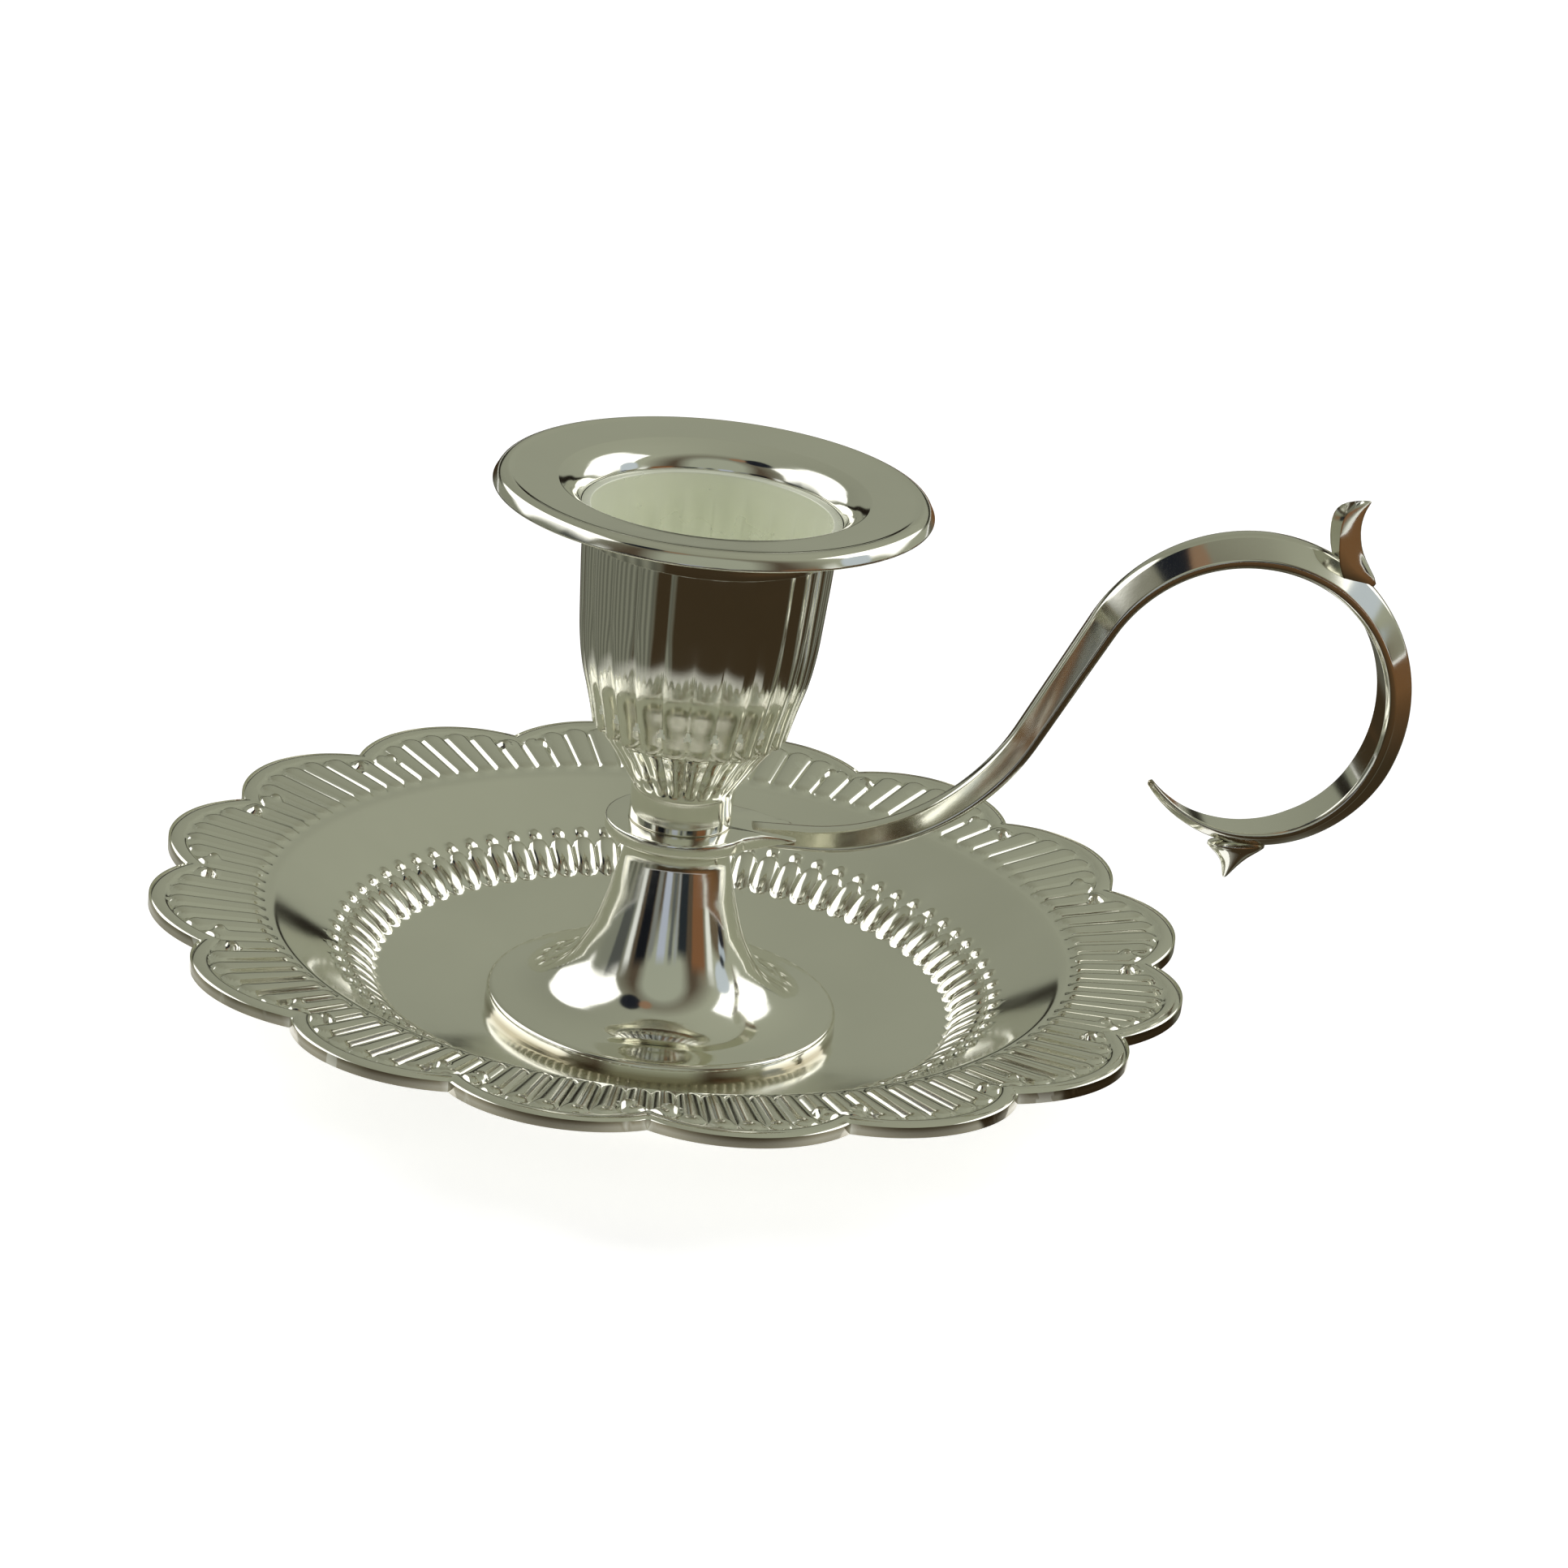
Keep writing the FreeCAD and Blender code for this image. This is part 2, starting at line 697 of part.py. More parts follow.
reed_depth = value("cup_reed_depth")
cup_reeds = reeded_loft("cup_reeds", [
    (cup_base.value, value("cup_base_radius"), reed_depth),
    (cup_base.value + value("cup_belly_rise") * HALF_SHARE,
     blend(value("cup_base_radius"), value("cup_belly_radius"), HALF_SHARE) + reed_depth * HALF_SHARE,
     reed_depth),
    (cup_base.value + value("cup_belly_rise"), value("cup_belly_radius"), reed_depth),
    (blend(cup_base.value + value("cup_belly_rise"), value("cup_reed_top"), HALF_SHARE),
     blend(value("cup_belly_radius"), value("cup_side_radius"), HALF_SHARE) + reed_depth * HALF_SHARE,
     reed_depth),
    (value("cup_reed_top"), value("cup_side_radius"), reed_depth),
])
calyx_flutes = reeded_loft("calyx_flutes", [
    (neck_top.value, value("neck_radius") - value("cup_reed_land"), reed_depth * HALF_SHARE),
    (blend(neck_top.value, calyx_top.value, HALF_SHARE),
     blend(value("neck_radius"), value("calyx_top_radius"), HALF_SHARE) - reed_depth, reed_depth),
    (calyx_top.value, value("calyx_top_radius"), reed_depth),
])
under_reeds = cell("cup_reed_depth") + cell("cup_reed_land")
under_base = cell("cup_base_radius") - under_reeds
under_calyx = cell("calyx_top_radius") - under_reeds
under_top = cell("cup_side_radius") - under_reeds
core_radius = cell("neck_radius") - under_reeds
cup_core = turned_body("cup_core", [
    (0, spigot_bottom),
    (cell("spigot_radius"), spigot_bottom),
    (cell("spigot_radius"), eye_top),
    (cell("neck_radius"), eye_top),
    (cell("neck_radius"), neck_top),
    (core_radius, neck_top),
    (core_radius, calyx_top),
    (under_calyx, calyx_top),
    (under_base, cup_base),
    (core_radius, cup_base),
    (core_radius, cell("cup_reed_top")),
    (under_top, cell("cup_reed_top")),
    (cell("cup_shoulder_radius"), cell("cup_shoulder_height") - cell("cup_wall") * HALF_SHARE),
    (cell("cup_shoulder_radius"), cell("cup_shoulder_height")),
    (mouth_radius, cell("cup_shoulder_height")),
    (mouth_radius, cell("cup_mouth_height")),
    (0, cell("cup_mouth_height")),
])
bore_floor = cup_base + cell("cup_floor_thickness")
cup_bore = turned_body("cup_bore", [
    (0, bore_floor),
    (cell("cup_lower_bore_radius"), bore_floor),
    (cell("cup_belly_radius") - cell("cup_wall") - cell("cup_reed_depth") * 2,
     cup_base + cell("cup_belly_rise")),
    (candle_radius, cell("cup_mouth_height") - cell("socket_depth")),
    (candle_radius, cell("cup_mouth_height") + cell("overrun")),
    (0, cell("cup_mouth_height") + cell("overrun")),
])
tap_top = screw_top + cell("tap_wall")
tapped_hole = doc.addObject("Part::Cylinder", "tapped_hole")
tapped_hole.setExpression("Radius", (cell("screw_radius") + cell("thread_play")).text)
tapped_hole.setExpression("Height", (tap_top - spigot_bottom + cell("overrun")).text)
tapped_hole.setExpression("Placement.Base.z", (spigot_bottom - cell("overrun")).text)
cup_outside = doc.addObject("Part::MultiFuse", "cup_outside")
cup_outside.Shapes = [cup_core, cup_reeds, calyx_flutes]
cup_hollows = doc.addObject("Part::MultiFuse", "cup_hollows")
cup_hollows.Shapes = [cup_bore, tapped_hole]
candle_cup = doc.addObject("Part::Cut", "candle_cup")
candle_cup.Base = cup_outside
candle_cup.Tool = cup_hollows
candle_cup.Label = "candle_cup"


# Drip brim: a wide rolled brim whose funnel leads into a collar over the cup's mouth
collar_inner = mouth_radius + cell("brim_play")
collar_outer = collar_inner + cell("collar_wall")
face_inner = cell("brim_height") - cell("brim_dish")
funnel_bottom = face_inner - cell("funnel_drop")
drip_brim = turned_body("drip_brim", [
    (collar_inner, cell("cup_shoulder_height")),
    (collar_outer, cell("cup_shoulder_height")),
    (collar_outer, funnel_bottom - cell("brim_thickness") * HALF_SHARE),
    (cell("funnel_top_radius") + cell("brim_thickness") * HALF_SHARE,
     face_inner - cell("brim_thickness")),
    (cell("brim_radius") - cell("brim_roll") * 2, cell("brim_height") - cell("brim_thickness")),
    (cell("brim_radius") - cell("brim_roll"), cell("brim_height") - cell("brim_roll") * 2,
     cell("brim_roll"), -1),
    (cell("brim_radius"), cell("brim_height") - cell("brim_roll"), cell("brim_roll"), -1),
    (cell("brim_radius") - cell("brim_roll"), cell("brim_height")),
    (cell("funnel_top_radius"), face_inner),
    (collar_inner, funnel_bottom),
])


# Centre screw: slotted pan head below, shank up through washers, saucer, column and eye
centre_screw = turned_body("centre_screw", [
    (0, cell("screw_lift")),
    (cell("screw_head_radius") - cell("screw_head_round"), cell("screw_lift"),
     cell("screw_head_round"), -1),
    (cell("screw_head_radius"), cell("screw_lift") + cell("screw_head_round")),
    (cell("screw_head_radius"), head_top),
    (cell("screw_radius"), head_top),
    (cell("screw_radius"), screw_top),
    (0, screw_top),
])
slot = centre_screw.newObject("PartDesign::SubtractiveBox", "screw_slot")
slot.AttachmentSupport = [(plane_of(centre_screw, "XY_Plane"), "")]
slot.MapMode = "FlatFace"
slot.setExpression("Length", ((cell("screw_head_radius") + cell("overrun")) * 2).text)
slot.setExpression("Width", cell("screw_slot_width").text)
slot.setExpression("Height", (cell("screw_slot_depth") + cell("overrun")).text)
slot.setExpression("AttachmentOffset.Base.x",
                   (cell("overrun") * -1 - cell("screw_head_radius")).text)
slot.setExpression("AttachmentOffset.Base.y", (cell("screw_slot_width") * -HALF_SHARE).text)
slot.setExpression("AttachmentOffset.Base.z", (cell("screw_lift") - cell("overrun")).text)


# Washers between the screw's head and the saucer's dome
def washer(label, outer, bottom, thickness):
    disc = doc.addObject("Part::Cylinder", label + "_disc")
    hole = doc.addObject("Part::Cylinder", label + "_hole")
    disc.setExpression("Radius", outer.text)
    disc.setExpression("Height", thickness.text)
    disc.setExpression("Placement.Base.z", bottom.text)
    hole.setExpression("Radius", screw_hole.text)
    hole.setExpression("Height", (thickness + cell("overrun") * 2).text)
    hole.setExpression("Placement.Base.z", (bottom - cell("overrun")).text)
    ring = doc.addObject("Part::Cut", label)
    ring.Base = disc
    ring.Tool = hole
    ring.Label = label
    return ring


flat_washer = washer("flat_washer", cell("flat_washer_radius"), spring_top,
                     cell("flat_washer_thickness"))
closed_spring = washer("closed_spring", cell("spring_washer_radius"), head_top,
                       cell("spring_washer_thickness"))
spring_gap = doc.addObject("Part::Box", "spring_gap")
spring_gap.setExpression("Length", (cell("spring_washer_radius") + cell("overrun")).text)
spring_gap.setExpression("Width", cell("spring_washer_gap").text)
spring_gap.setExpression("Height", (cell("spring_washer_thickness") + cell("overrun") * 2).text)
spring_gap.setExpression("Placement.Base.y", (cell("spring_washer_gap") * -HALF_SHARE).text)
spring_gap.setExpression("Placement.Base.z", (head_top - cell("overrun")).text)
spring_washer = doc.addObject("Part::Cut", "spring_washer")
spring_washer.Base = closed_spring
spring_washer.Tool = spring_gap
spring_washer.Label = "spring_washer"

doc.recompute()

# Checks and export
for item in doc.Objects:
    if any(state in ("Invalid", "Error") for state in item.State):
        raise RuntimeError(f"{item.Label} did not build: {item.State}")

SUB_PARTS = [saucer, foot_column, handle, candle_cup, drip_brim, centre_screw, spring_washer,
             flat_washer]
os.makedirs("parts", exist_ok=True)
for part in SUB_PARTS:
    shape = part.Shape
    if shape.isNull() or not shape.isValid() or len(shape.Solids) != 1:
        raise RuntimeError(f"{part.Label} is not one sound solid")
for part in SUB_PARTS:
    part.Shape.exportStep(f"parts/{part.Label}.step")
    box = part.Shape.BoundBox
    print(f"{part.Label}: {part.Shape.Volume:.0f} mm3, {len(part.Shape.Faces)} faces, "
          f"x {box.XMin:.2f}..{box.XMax:.2f}, y {box.YMin:.2f}..{box.YMax:.2f}, "
          f"z {box.ZMin:.2f}..{box.ZMax:.2f}")
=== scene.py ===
# %% [markdown]
# # A chamberstick with a finger loop
# A chamberstick is a low candle holder that is carried to bed: a saucer that catches the wax, a
# short column, a cup for the candle with a wide brim, and a handle bent into a loop for one finger.
# This one is silver plate. The solids come from the CAD part, and this lesson dresses them: it
# builds finer meshes of the same sizes, gives them a polished finish and lights them softly.

import math

import bpy
import numpy as np
from mathutils import Matrix, Vector


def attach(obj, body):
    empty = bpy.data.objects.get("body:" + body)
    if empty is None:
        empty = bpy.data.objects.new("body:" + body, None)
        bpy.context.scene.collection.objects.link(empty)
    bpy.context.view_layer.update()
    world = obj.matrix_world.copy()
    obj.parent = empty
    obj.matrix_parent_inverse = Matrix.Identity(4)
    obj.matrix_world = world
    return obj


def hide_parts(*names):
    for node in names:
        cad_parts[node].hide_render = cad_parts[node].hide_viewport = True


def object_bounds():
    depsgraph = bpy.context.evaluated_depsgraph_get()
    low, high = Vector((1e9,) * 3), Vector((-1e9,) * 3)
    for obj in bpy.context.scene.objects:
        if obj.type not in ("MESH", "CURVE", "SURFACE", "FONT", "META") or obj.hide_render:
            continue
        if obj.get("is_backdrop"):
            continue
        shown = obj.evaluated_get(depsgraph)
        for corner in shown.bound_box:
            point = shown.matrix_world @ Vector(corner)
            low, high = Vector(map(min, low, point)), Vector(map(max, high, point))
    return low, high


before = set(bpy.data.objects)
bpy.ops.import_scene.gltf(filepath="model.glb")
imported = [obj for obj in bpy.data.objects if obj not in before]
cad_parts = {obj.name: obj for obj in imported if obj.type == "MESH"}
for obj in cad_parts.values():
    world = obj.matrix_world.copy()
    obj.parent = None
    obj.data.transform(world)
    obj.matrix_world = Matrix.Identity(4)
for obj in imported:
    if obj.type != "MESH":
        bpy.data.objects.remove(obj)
cad_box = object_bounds()
MM = 0.001
print("CAD nodes:", sorted(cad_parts))

# %% [markdown]
# ## The camera
# The photograph was taken with a long lens from about half a metre away, a little above the
# object. The ellipses of the brim, the foot and the saucer fix the camera's height and distance,
# and three small turns finish the framing. Working them out once beats nudging a camera by eye,
# because every later comparison depends on it.

# %% Place the camera
CAMERA_DISTANCE = 506.9 * MM
CAMERA_TARGET_HEIGHT = 2.4 * MM
CAMERA_ELEVATION = math.radians(23.644)
CAMERA_AZIMUTH = math.radians(-7.0)
CAMERA_YAW = math.radians(1.0686)
CAMERA_PITCH = math.radians(-2.3671)
CAMERA_ROLL = math.radians(-5.9988)
SENSOR_WIDTH = 36.0
PHOTO_WIDTH = 1932
FOCAL_PIXELS = 6593.48
FOCAL_LENGTH = FOCAL_PIXELS / PHOTO_WIDTH * SENSOR_WIDTH
NEAREST_SEEN = 0.01
FARTHEST_SEEN = 20


def camera_matrix():
    """Looks at the object's axis, then yaws, pitches and rolls the lens by the last few degrees."""
    back = Vector((0, -math.cos(CAMERA_ELEVATION), math.sin(CAMERA_ELEVATION)))
    right = Vector((1, 0, 0))
    up = back.cross(right)
    level = Matrix((right, up, back))
    lens_turn = (Matrix.Rotation(CAMERA_ROLL, 3, "Z") @ Matrix.Rotation(CAMERA_PITCH, 3, "X")
                 @ Matrix.Rotation(CAMERA_YAW, 3, "Y"))
    facing = (lens_turn @ level).transposed()
    around = Matrix.Rotation(CAMERA_AZIMUTH, 3, "Z")
    place = around @ (back * CAMERA_DISTANCE) + Vector((0, 0, CAMERA_TARGET_HEIGHT))
    return Matrix.Translation(place) @ (around @ facing).to_4x4()


camera_data = bpy.data.cameras.new("product_camera")
camera_data.sensor_width = SENSOR_WIDTH
camera_data.lens = FOCAL_LENGTH
camera_data.clip_start = NEAREST_SEEN
camera_data.clip_end = FARTHEST_SEEN
camera = bpy.data.objects.new("product_camera", camera_data)
bpy.context.scene.collection.objects.link(camera)
camera.matrix_world = camera_matrix()
bpy.context.scene.camera = camera
print(f"camera {camera_data.lens:.1f} mm at {[round(c, 3) for c in camera.location]}")

# %% [markdown]
# ## One way to make every round piece
# Most of this object was turned or pressed from sheet, so its pieces are skins over rings of
# points. A screw modifier could turn a plain profile, but it can't carry flutes, reeds or
# scallops. Rings of points can: each ring may wobble as it likes, and one helper joins them.

# %% Skin helper
SHARP_EDGE = math.radians(50)


def skin(name, rings, start_pole=None, end_pole=None):
    """A closed mesh over rings of points in millimetres; a pole closes an end with one point."""
    rings = np.asarray(rings, float)
    rows, columns = rings.shape[:2]
    points = rings.reshape(-1, 3)
    index = np.arange(rows * columns).reshape(rows, columns)
    onward = np.roll(index, -1, axis=1)
    looped = start_pole is None and end_pole is None
    lower = index if looped else index[:-1]
    upper = np.roll(index, -1, axis=0) if looped else index[1:]
    lower_on = onward if looped else onward[:-1]
    upper_on = np.roll(onward, -1, axis=0) if looped else onward[1:]
    quads = np.stack([lower, lower_on, upper_on, upper], axis=-1).reshape(-1, 4).tolist()
    for pole, ring, ring_on in ((start_pole, onward[0], index[0]), (end_pole, index[-1], onward[-1])):
        if pole is not None:
            points = np.vstack([points, pole])
            quads += [[int(a), int(b), len(points) - 1] for a, b in zip(ring, ring_on)]
    mesh = bpy.data.meshes.new(name)
    mesh.from_pydata((points * MM).tolist(), [], quads)
    mesh.validate()
    mesh.shade_smooth()
    mesh.set_sharp_from_angle(angle=SHARP_EDGE)
    piece = bpy.data.objects.new(name, mesh)
    bpy.context.scene.collection.objects.link(piece)
    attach(piece, "root")
    print(f"{name}: {len(mesh.vertices)} points, {len(mesh.polygons)} faces")
    return piece


def turned(profile, columns, radius_of=None):
    """Rings for a profile of (radius, height); radius_of may shape each ring by its angle."""
    angles = np.linspace(0, 2 * math.pi, columns, endpoint=False)
    rings = []
    for radius, height in profile:
        radii = np.full(columns, radius) if radius_of is None else radius_of(radius, height, angles)
        rings.append(np.stack([radii * np.cos(angles), radii * np.sin(angles),
                               np.full(columns, height)], axis=-1))
    return np.array(rings)


# %% [markdown]
# A turned profile looks false when its corners are knife-sharp: on polished metal the small round
# of an edge is what catches the light. So each corner of a profile gets a real arc, a few tenths
# of a millimetre in radius, and straight runs get extra points to keep the shading even.

# %% Rounded profiles
LARGEST_SHARE = 0.45


def rounded(corners, radius, steps=4, closed=True, longest=1.5):
    """The same outline with rounded corners; a corner's third number is its own rounding.

    A corner takes at most LARGEST_SHARE of each side, so a large number makes a long sweep.
    """
    corners = [tuple(c) for c in corners]
    count = len(corners)
    outline = []
    for i, corner in enumerate(corners):
        point = Vector(corner[:2])
        if not closed and i in (0, count - 1):
            outline.append(point)
            continue
        before, after = Vector(corners[i - 1][:2]), Vector(corners[(i + 1) % count][:2])
        reach = corner[2] if len(corner) > 2 else radius
        to_before, to_after = before - point, after - point
        reach = min(reach, to_before.length * LARGEST_SHARE, to_after.length * LARGEST_SHARE)
        first = point + to_before.normalized() * reach
        last = point + to_after.normalized() * reach
        for step in range(steps + 1):
            t = step / steps
            outline.append(first * (1 - t) ** 2 + point * 2 * t * (1 - t) + last * t**2)
    filled = []
    for i, point in enumerate(outline):
        filled.append(tuple(point))
        if not closed and i == len(outline) - 1:
            break
        following = outline[(i + 1) % len(outline)]
        extra = int((following - point).length / longest)
        for step in range(extra):
            filled.append(tuple(point.lerp(following, (step + 1) / (extra + 1))))
    return filled


print("a square with rounded corners has", len(rounded([(0, 0), (4, 0), (4, 4), (0, 4)], 0.5)), "points")

# %% [markdown]
# ## The saucer
# The saucer is one pressed sheet. From the middle outward: a raised centre under the column, a
# flat floor, a ring of rounded lobes on a slope (gadroons) with small beads, a plain hollow band,
# and a border of sixteen scallops with seven radial ribs each, edged with a round wire. It could be
# sculpted or made of many small objects. A height for every angle and radius is better, because
# pressed relief is exactly that, and the pattern then repeats without a fault.

# %% Saucer sizes
PETALS = 16
RIBS = PETALS * 7
GADROONS = PETALS * 5
SAUCER_TURN = math.radians(4.25)
SHEET = 1.0
HOLE_RADIUS = 2.15
SAUCER_LINE = [(HOLE_RADIUS, 5.7), (6.0, 5.7), (10.4, 1.0), (17.3, 1.0), (27.3, 3.0), (30.6, 5.45),
               (37.4, 9.65), (49.85, 11.0)]
BEND_SOFTNESS = 0.4
BORDER_START = 38.0
PETAL_TIP = 48.85
PETAL_NOTCH = 45.8
half_petal = math.pi / PETALS
half_chord = PETAL_NOTCH * math.sin(half_petal)
petal_rise = PETAL_TIP - PETAL_NOTCH * math.cos(half_petal)
petal_arc = (half_chord**2 + petal_rise**2) / (2 * petal_rise)
petal_centre = PETAL_TIP - petal_arc
print(f"each scallop is an arc of {petal_arc:.1f} mm round a point {petal_centre:.1f} mm out")

# %% Plain sheet and scallops
SHIFTS = np.linspace(-BEND_SOFTNESS, BEND_SOFTNESS, 9)


def sheet_height(radius):
    """The plain sheet's upper side, with the bends of its profile softened."""
    places, heights = np.array(SAUCER_LINE).T
    return sum(np.interp(radius + shift, places, heights) for shift in SHIFTS) / len(SHIFTS)


def folded(angle, pitch):
    """The angle from the middle of its own repeat."""
    return (angle + pitch / 2) % pitch - pitch / 2


def petal_edge(angle, arc=petal_arc):
    """How far out a scallop's arc lies at an angle."""
    local = folded(angle, 2 * half_petal)
    return petal_centre * np.cos(local) + np.sqrt(arc**2 - (petal_centre * np.sin(local))**2)


# %% [markdown]
# The press leaves its ornament as small heights over the plain sheet. The lobes of the gadroon ring
# touch each other, and each has a bead at its outer end. A fine groove marks the edge of the well,
# the ribs fan out behind it, and two beads sit in each notch between scallops. A texture could fake
# all of this, but real heights catch the light from every side.

# %% Saucer relief
GADROON_MIDDLE = 28.85
GADROON_HALF_LENGTH = 1.85
GADROON_HEIGHT = 0.8
GADROON_FULLNESS = 0.6
GADROON_BEAD = 31.2
GADROON_BEAD_RADIUS = 0.62
GADROON_BEAD_HEIGHT = 0.36
EDGE_GROOVE = 37.95
EDGE_GROOVE_HALF_WIDTH = 0.45
EDGE_GROOVE_DEPTH = 0.22
RIB_START = 38.15
RIB_END_INSET = 1.5
RIB_END_TAPER = 1.2
RIB_HEIGHT = 0.5
RIB_FULLNESS = 0.7
NOTCH_BEAD = 43.3
NOTCH_BEAD_RADIUS = 0.72
NOTCH_BEAD_HEIGHT = 0.85
NOTCH_BEAD_ANGLE = math.radians(2.5)
LIP_HEIGHT = 0.65
LIP_HALF_WIDTH = 0.95
LIP_INSET = 0.9
LIP_ZONE = 40.1


def rib_height(across, half_width, past_end):
    """A rounded ridge that meets its neighbours in narrow grooves and ends in a half round."""
    share = 1 - (across / half_width) ** 2 - np.maximum(past_end / half_width, 0) ** 2
    return RIB_HEIGHT * np.clip(share, 0, 1) ** RIB_FULLNESS


def bead(along, across, radius, height):
    """A low dome."""
    share = 1 - (along**2 + across**2) / radius**2
    return height * np.sqrt(np.clip(share, 0, 1))


def relief(radius, angle):
    """The heights of gadroons, beads and ribs over the sheet."""
    lobe = folded(angle + math.pi / GADROONS, 2 * math.pi / GADROONS)
    across = radius * np.sin(lobe)
    half_width = radius * math.sin(math.pi / GADROONS)
    share = 1 - (across / half_width) ** 2 - np.abs((radius - GADROON_MIDDLE) / GADROON_HALF_LENGTH) ** 3
    height = GADROON_HEIGHT * np.clip(share, 0, 1) ** GADROON_FULLNESS
    height = np.maximum(height, bead(radius - GADROON_BEAD, across, GADROON_BEAD_RADIUS,
                                     GADROON_BEAD_HEIGHT))
    height = height - bead(radius - EDGE_GROOVE, 0, EDGE_GROOVE_HALF_WIDTH, EDGE_GROOVE_DEPTH)
    rib = folded(angle, 2 * math.pi / RIBS)
    across = radius * np.sin(rib)
    half_width = radius * math.sin(math.pi / RIBS)
    rib_end = petal_edge(angle - rib) - RIB_END_INSET
    past = np.maximum(RIB_START + half_width - radius, radius - rib_end + half_width * RIB_END_TAPER)
    height = np.maximum(height, rib_height(across, half_width, past))
    beside = np.abs(folded(angle + half_petal, 2 * half_petal)) - NOTCH_BEAD_ANGLE
    return np.maximum(height, bead(radius - NOTCH_BEAD, radius * np.sin(beside), NOTCH_BEAD_RADIUS,
                                   NOTCH_BEAD_HEIGHT))


def lip(radius, angle):
    """How high the round wire edge stands over its own middle, or -1 away from it."""
    local = folded(angle, 2 * half_petal)
    from_centre = np.hypot(radius * np.cos(local) - petal_centre, radius * np.sin(local))
    share = 1 - ((petal_arc - LIP_INSET - from_centre) / LIP_HALF_WIDTH) ** 2
    on_wire = (share > 0) & (radius > LIP_ZONE)
    return np.where(on_wire, LIP_HEIGHT * np.sqrt(np.clip(share, 0, 1)), -1.0)


# %% [markdown]
# The mesh has one ring of points for each of these rows. They lie close together where the relief
# is fine and far apart where it is plain, so that the detail costs no more points than it needs.
# The rows of the border follow the scallops, and the inner ones are plain circles.

# %% Saucer rows
SAUCER_COLUMNS = GADROONS * 14
LIP_BAND = 2.3
angles = np.linspace(0, 2 * math.pi, SAUCER_COLUMNS, endpoint=False)
outer_edge = petal_edge(angles, petal_arc - LIP_INSET + LIP_HALF_WIDTH)
inner_edge = outer_edge - LIP_BAND
inner_rows = np.concatenate([
    np.linspace(HOLE_RADIUS, 5.6, 4), np.linspace(6.0, 10.4, 8), np.linspace(10.9, 17.0, 5),
    np.linspace(17.5, 26.6, 9), np.linspace(26.85, 32.0, 28), np.linspace(32.4, 35.8, 7),
    np.linspace(36.0, BORDER_START, 12)])
rib_rows = (np.linspace(0, 1, 30)[1:] ** 0.9)[:, None]
lip_rows = np.sin(np.linspace(0, math.pi / 2, 18)[1:])[:, None]
top_radii = np.vstack([
    np.repeat(inner_rows[:, None], SAUCER_COLUMNS, axis=1),
    BORDER_START + (inner_edge - BORDER_START) * rib_rows,
    inner_edge + LIP_BAND * lip_rows])
under_rows = list(top_radii[::-1][1:len(lip_rows) + 1]) + [
    BORDER_START + (inner_edge - BORDER_START) * share for share in (0.66, 0.33)] + [
    np.full(SAUCER_COLUMNS, r) for r in (BORDER_START, 37.4, 37.0, 36.6, 36.2, 35.5, 33.6, 33.0, 31.0, 30.2,
                                         27.9, 27.2, 22.0, 18.2, 17.4, 16.8, 14.0, 11.6, 10.9, 10.4,
                                         9.8, 8.0, 6.4, 5.8, 5.2, HOLE_RADIUS)]
print(f"the saucer has {len(top_radii)} rows above and {len(under_rows)} below")

# %% Saucer mesh
LIP_SINK = SHEET * 0.4
WIRE_COVERS = 0.25
SLOPE_STEP = 0.05
TOUCHING = 1e-6
lip_middle = sheet_height(petal_edge(angles) - LIP_INSET) - LIP_SINK


def saucer_top(radius):
    """The upper side: the sheet with its relief, and the upper half of the wire edge."""
    plain = sheet_height(radius) + relief(radius, angles)
    wire = lip(radius, angles)
    beside_wire = np.where(wire > WIRE_COVERS, 0, plain)
    height = np.where(wire >= 0, np.maximum(lip_middle + wire, beside_wire), plain)
    return np.where(radius >= outer_edge - TOUCHING, lip_middle, height)


def saucer_under(radius):
    """The lower side: one sheet thickness below the plain sheet, and the wire's lower half."""
    slope = (sheet_height(radius + SLOPE_STEP) - sheet_height(radius - SLOPE_STEP)) / (2 * SLOPE_STEP)
    plain = sheet_height(radius) - SHEET * np.sqrt(1 + slope**2)
    wire = lip(radius, angles)
    height = np.where(wire >= 0, np.minimum(lip_middle - wire, plain), plain)
    return np.where(radius >= outer_edge - TOUCHING, lip_middle, np.maximum(height, 0.0))


saucer_rings = []
turned_angles = angles + SAUCER_TURN
upper_side = [(r, saucer_top(r)) for r in top_radii]
lower_side = [(r, saucer_under(r)) for r in under_rows]
for radius, height in upper_side + lower_side:
    saucer_rings.append(np.stack([radius * np.cos(turned_angles), radius * np.sin(turned_angles),
                                  height], axis=-1))
saucer = skin("saucer_pressed", saucer_rings)
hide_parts("saucer")

# %% [markdown]
# ## The foot and column
# A hollow column that flares into a thin disc and stands on the saucer's floor. Its curve is one
# long hollow sweep, so every corner of its outline is rounded as far as its sides allow, and the
# disc keeps a small rounded edge that draws a bright line in the photograph.

# %% Column
COLUMN_COLUMNS = 144
outside = rounded([(16.6, 1.0), (16.6, 2.4, 0.8), (12.6, 2.75, 9), (9.2, 5.3, 9), (7.2, 8.9, 9),
                   (6.1, 12.2, 9), (4.92, 17.3, 0.6), (4.88, 19.0)], 0.1, steps=9, closed=False)
inside = rounded([(3.5, 19.0), (3.5, 16.0, 0.1), (4.0, 15.9, 0.3), (5.0, 11.8, 9), (6.1, 8.7, 9),
                  (8.2, 4.9, 9), (12.0, 1.9, 1), (12.0, 1.0)], 0.1, steps=5, closed=False)
column = skin("foot_column_turned", turned(outside + inside, COLUMN_COLUMNS)[::-1])
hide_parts("foot_column")

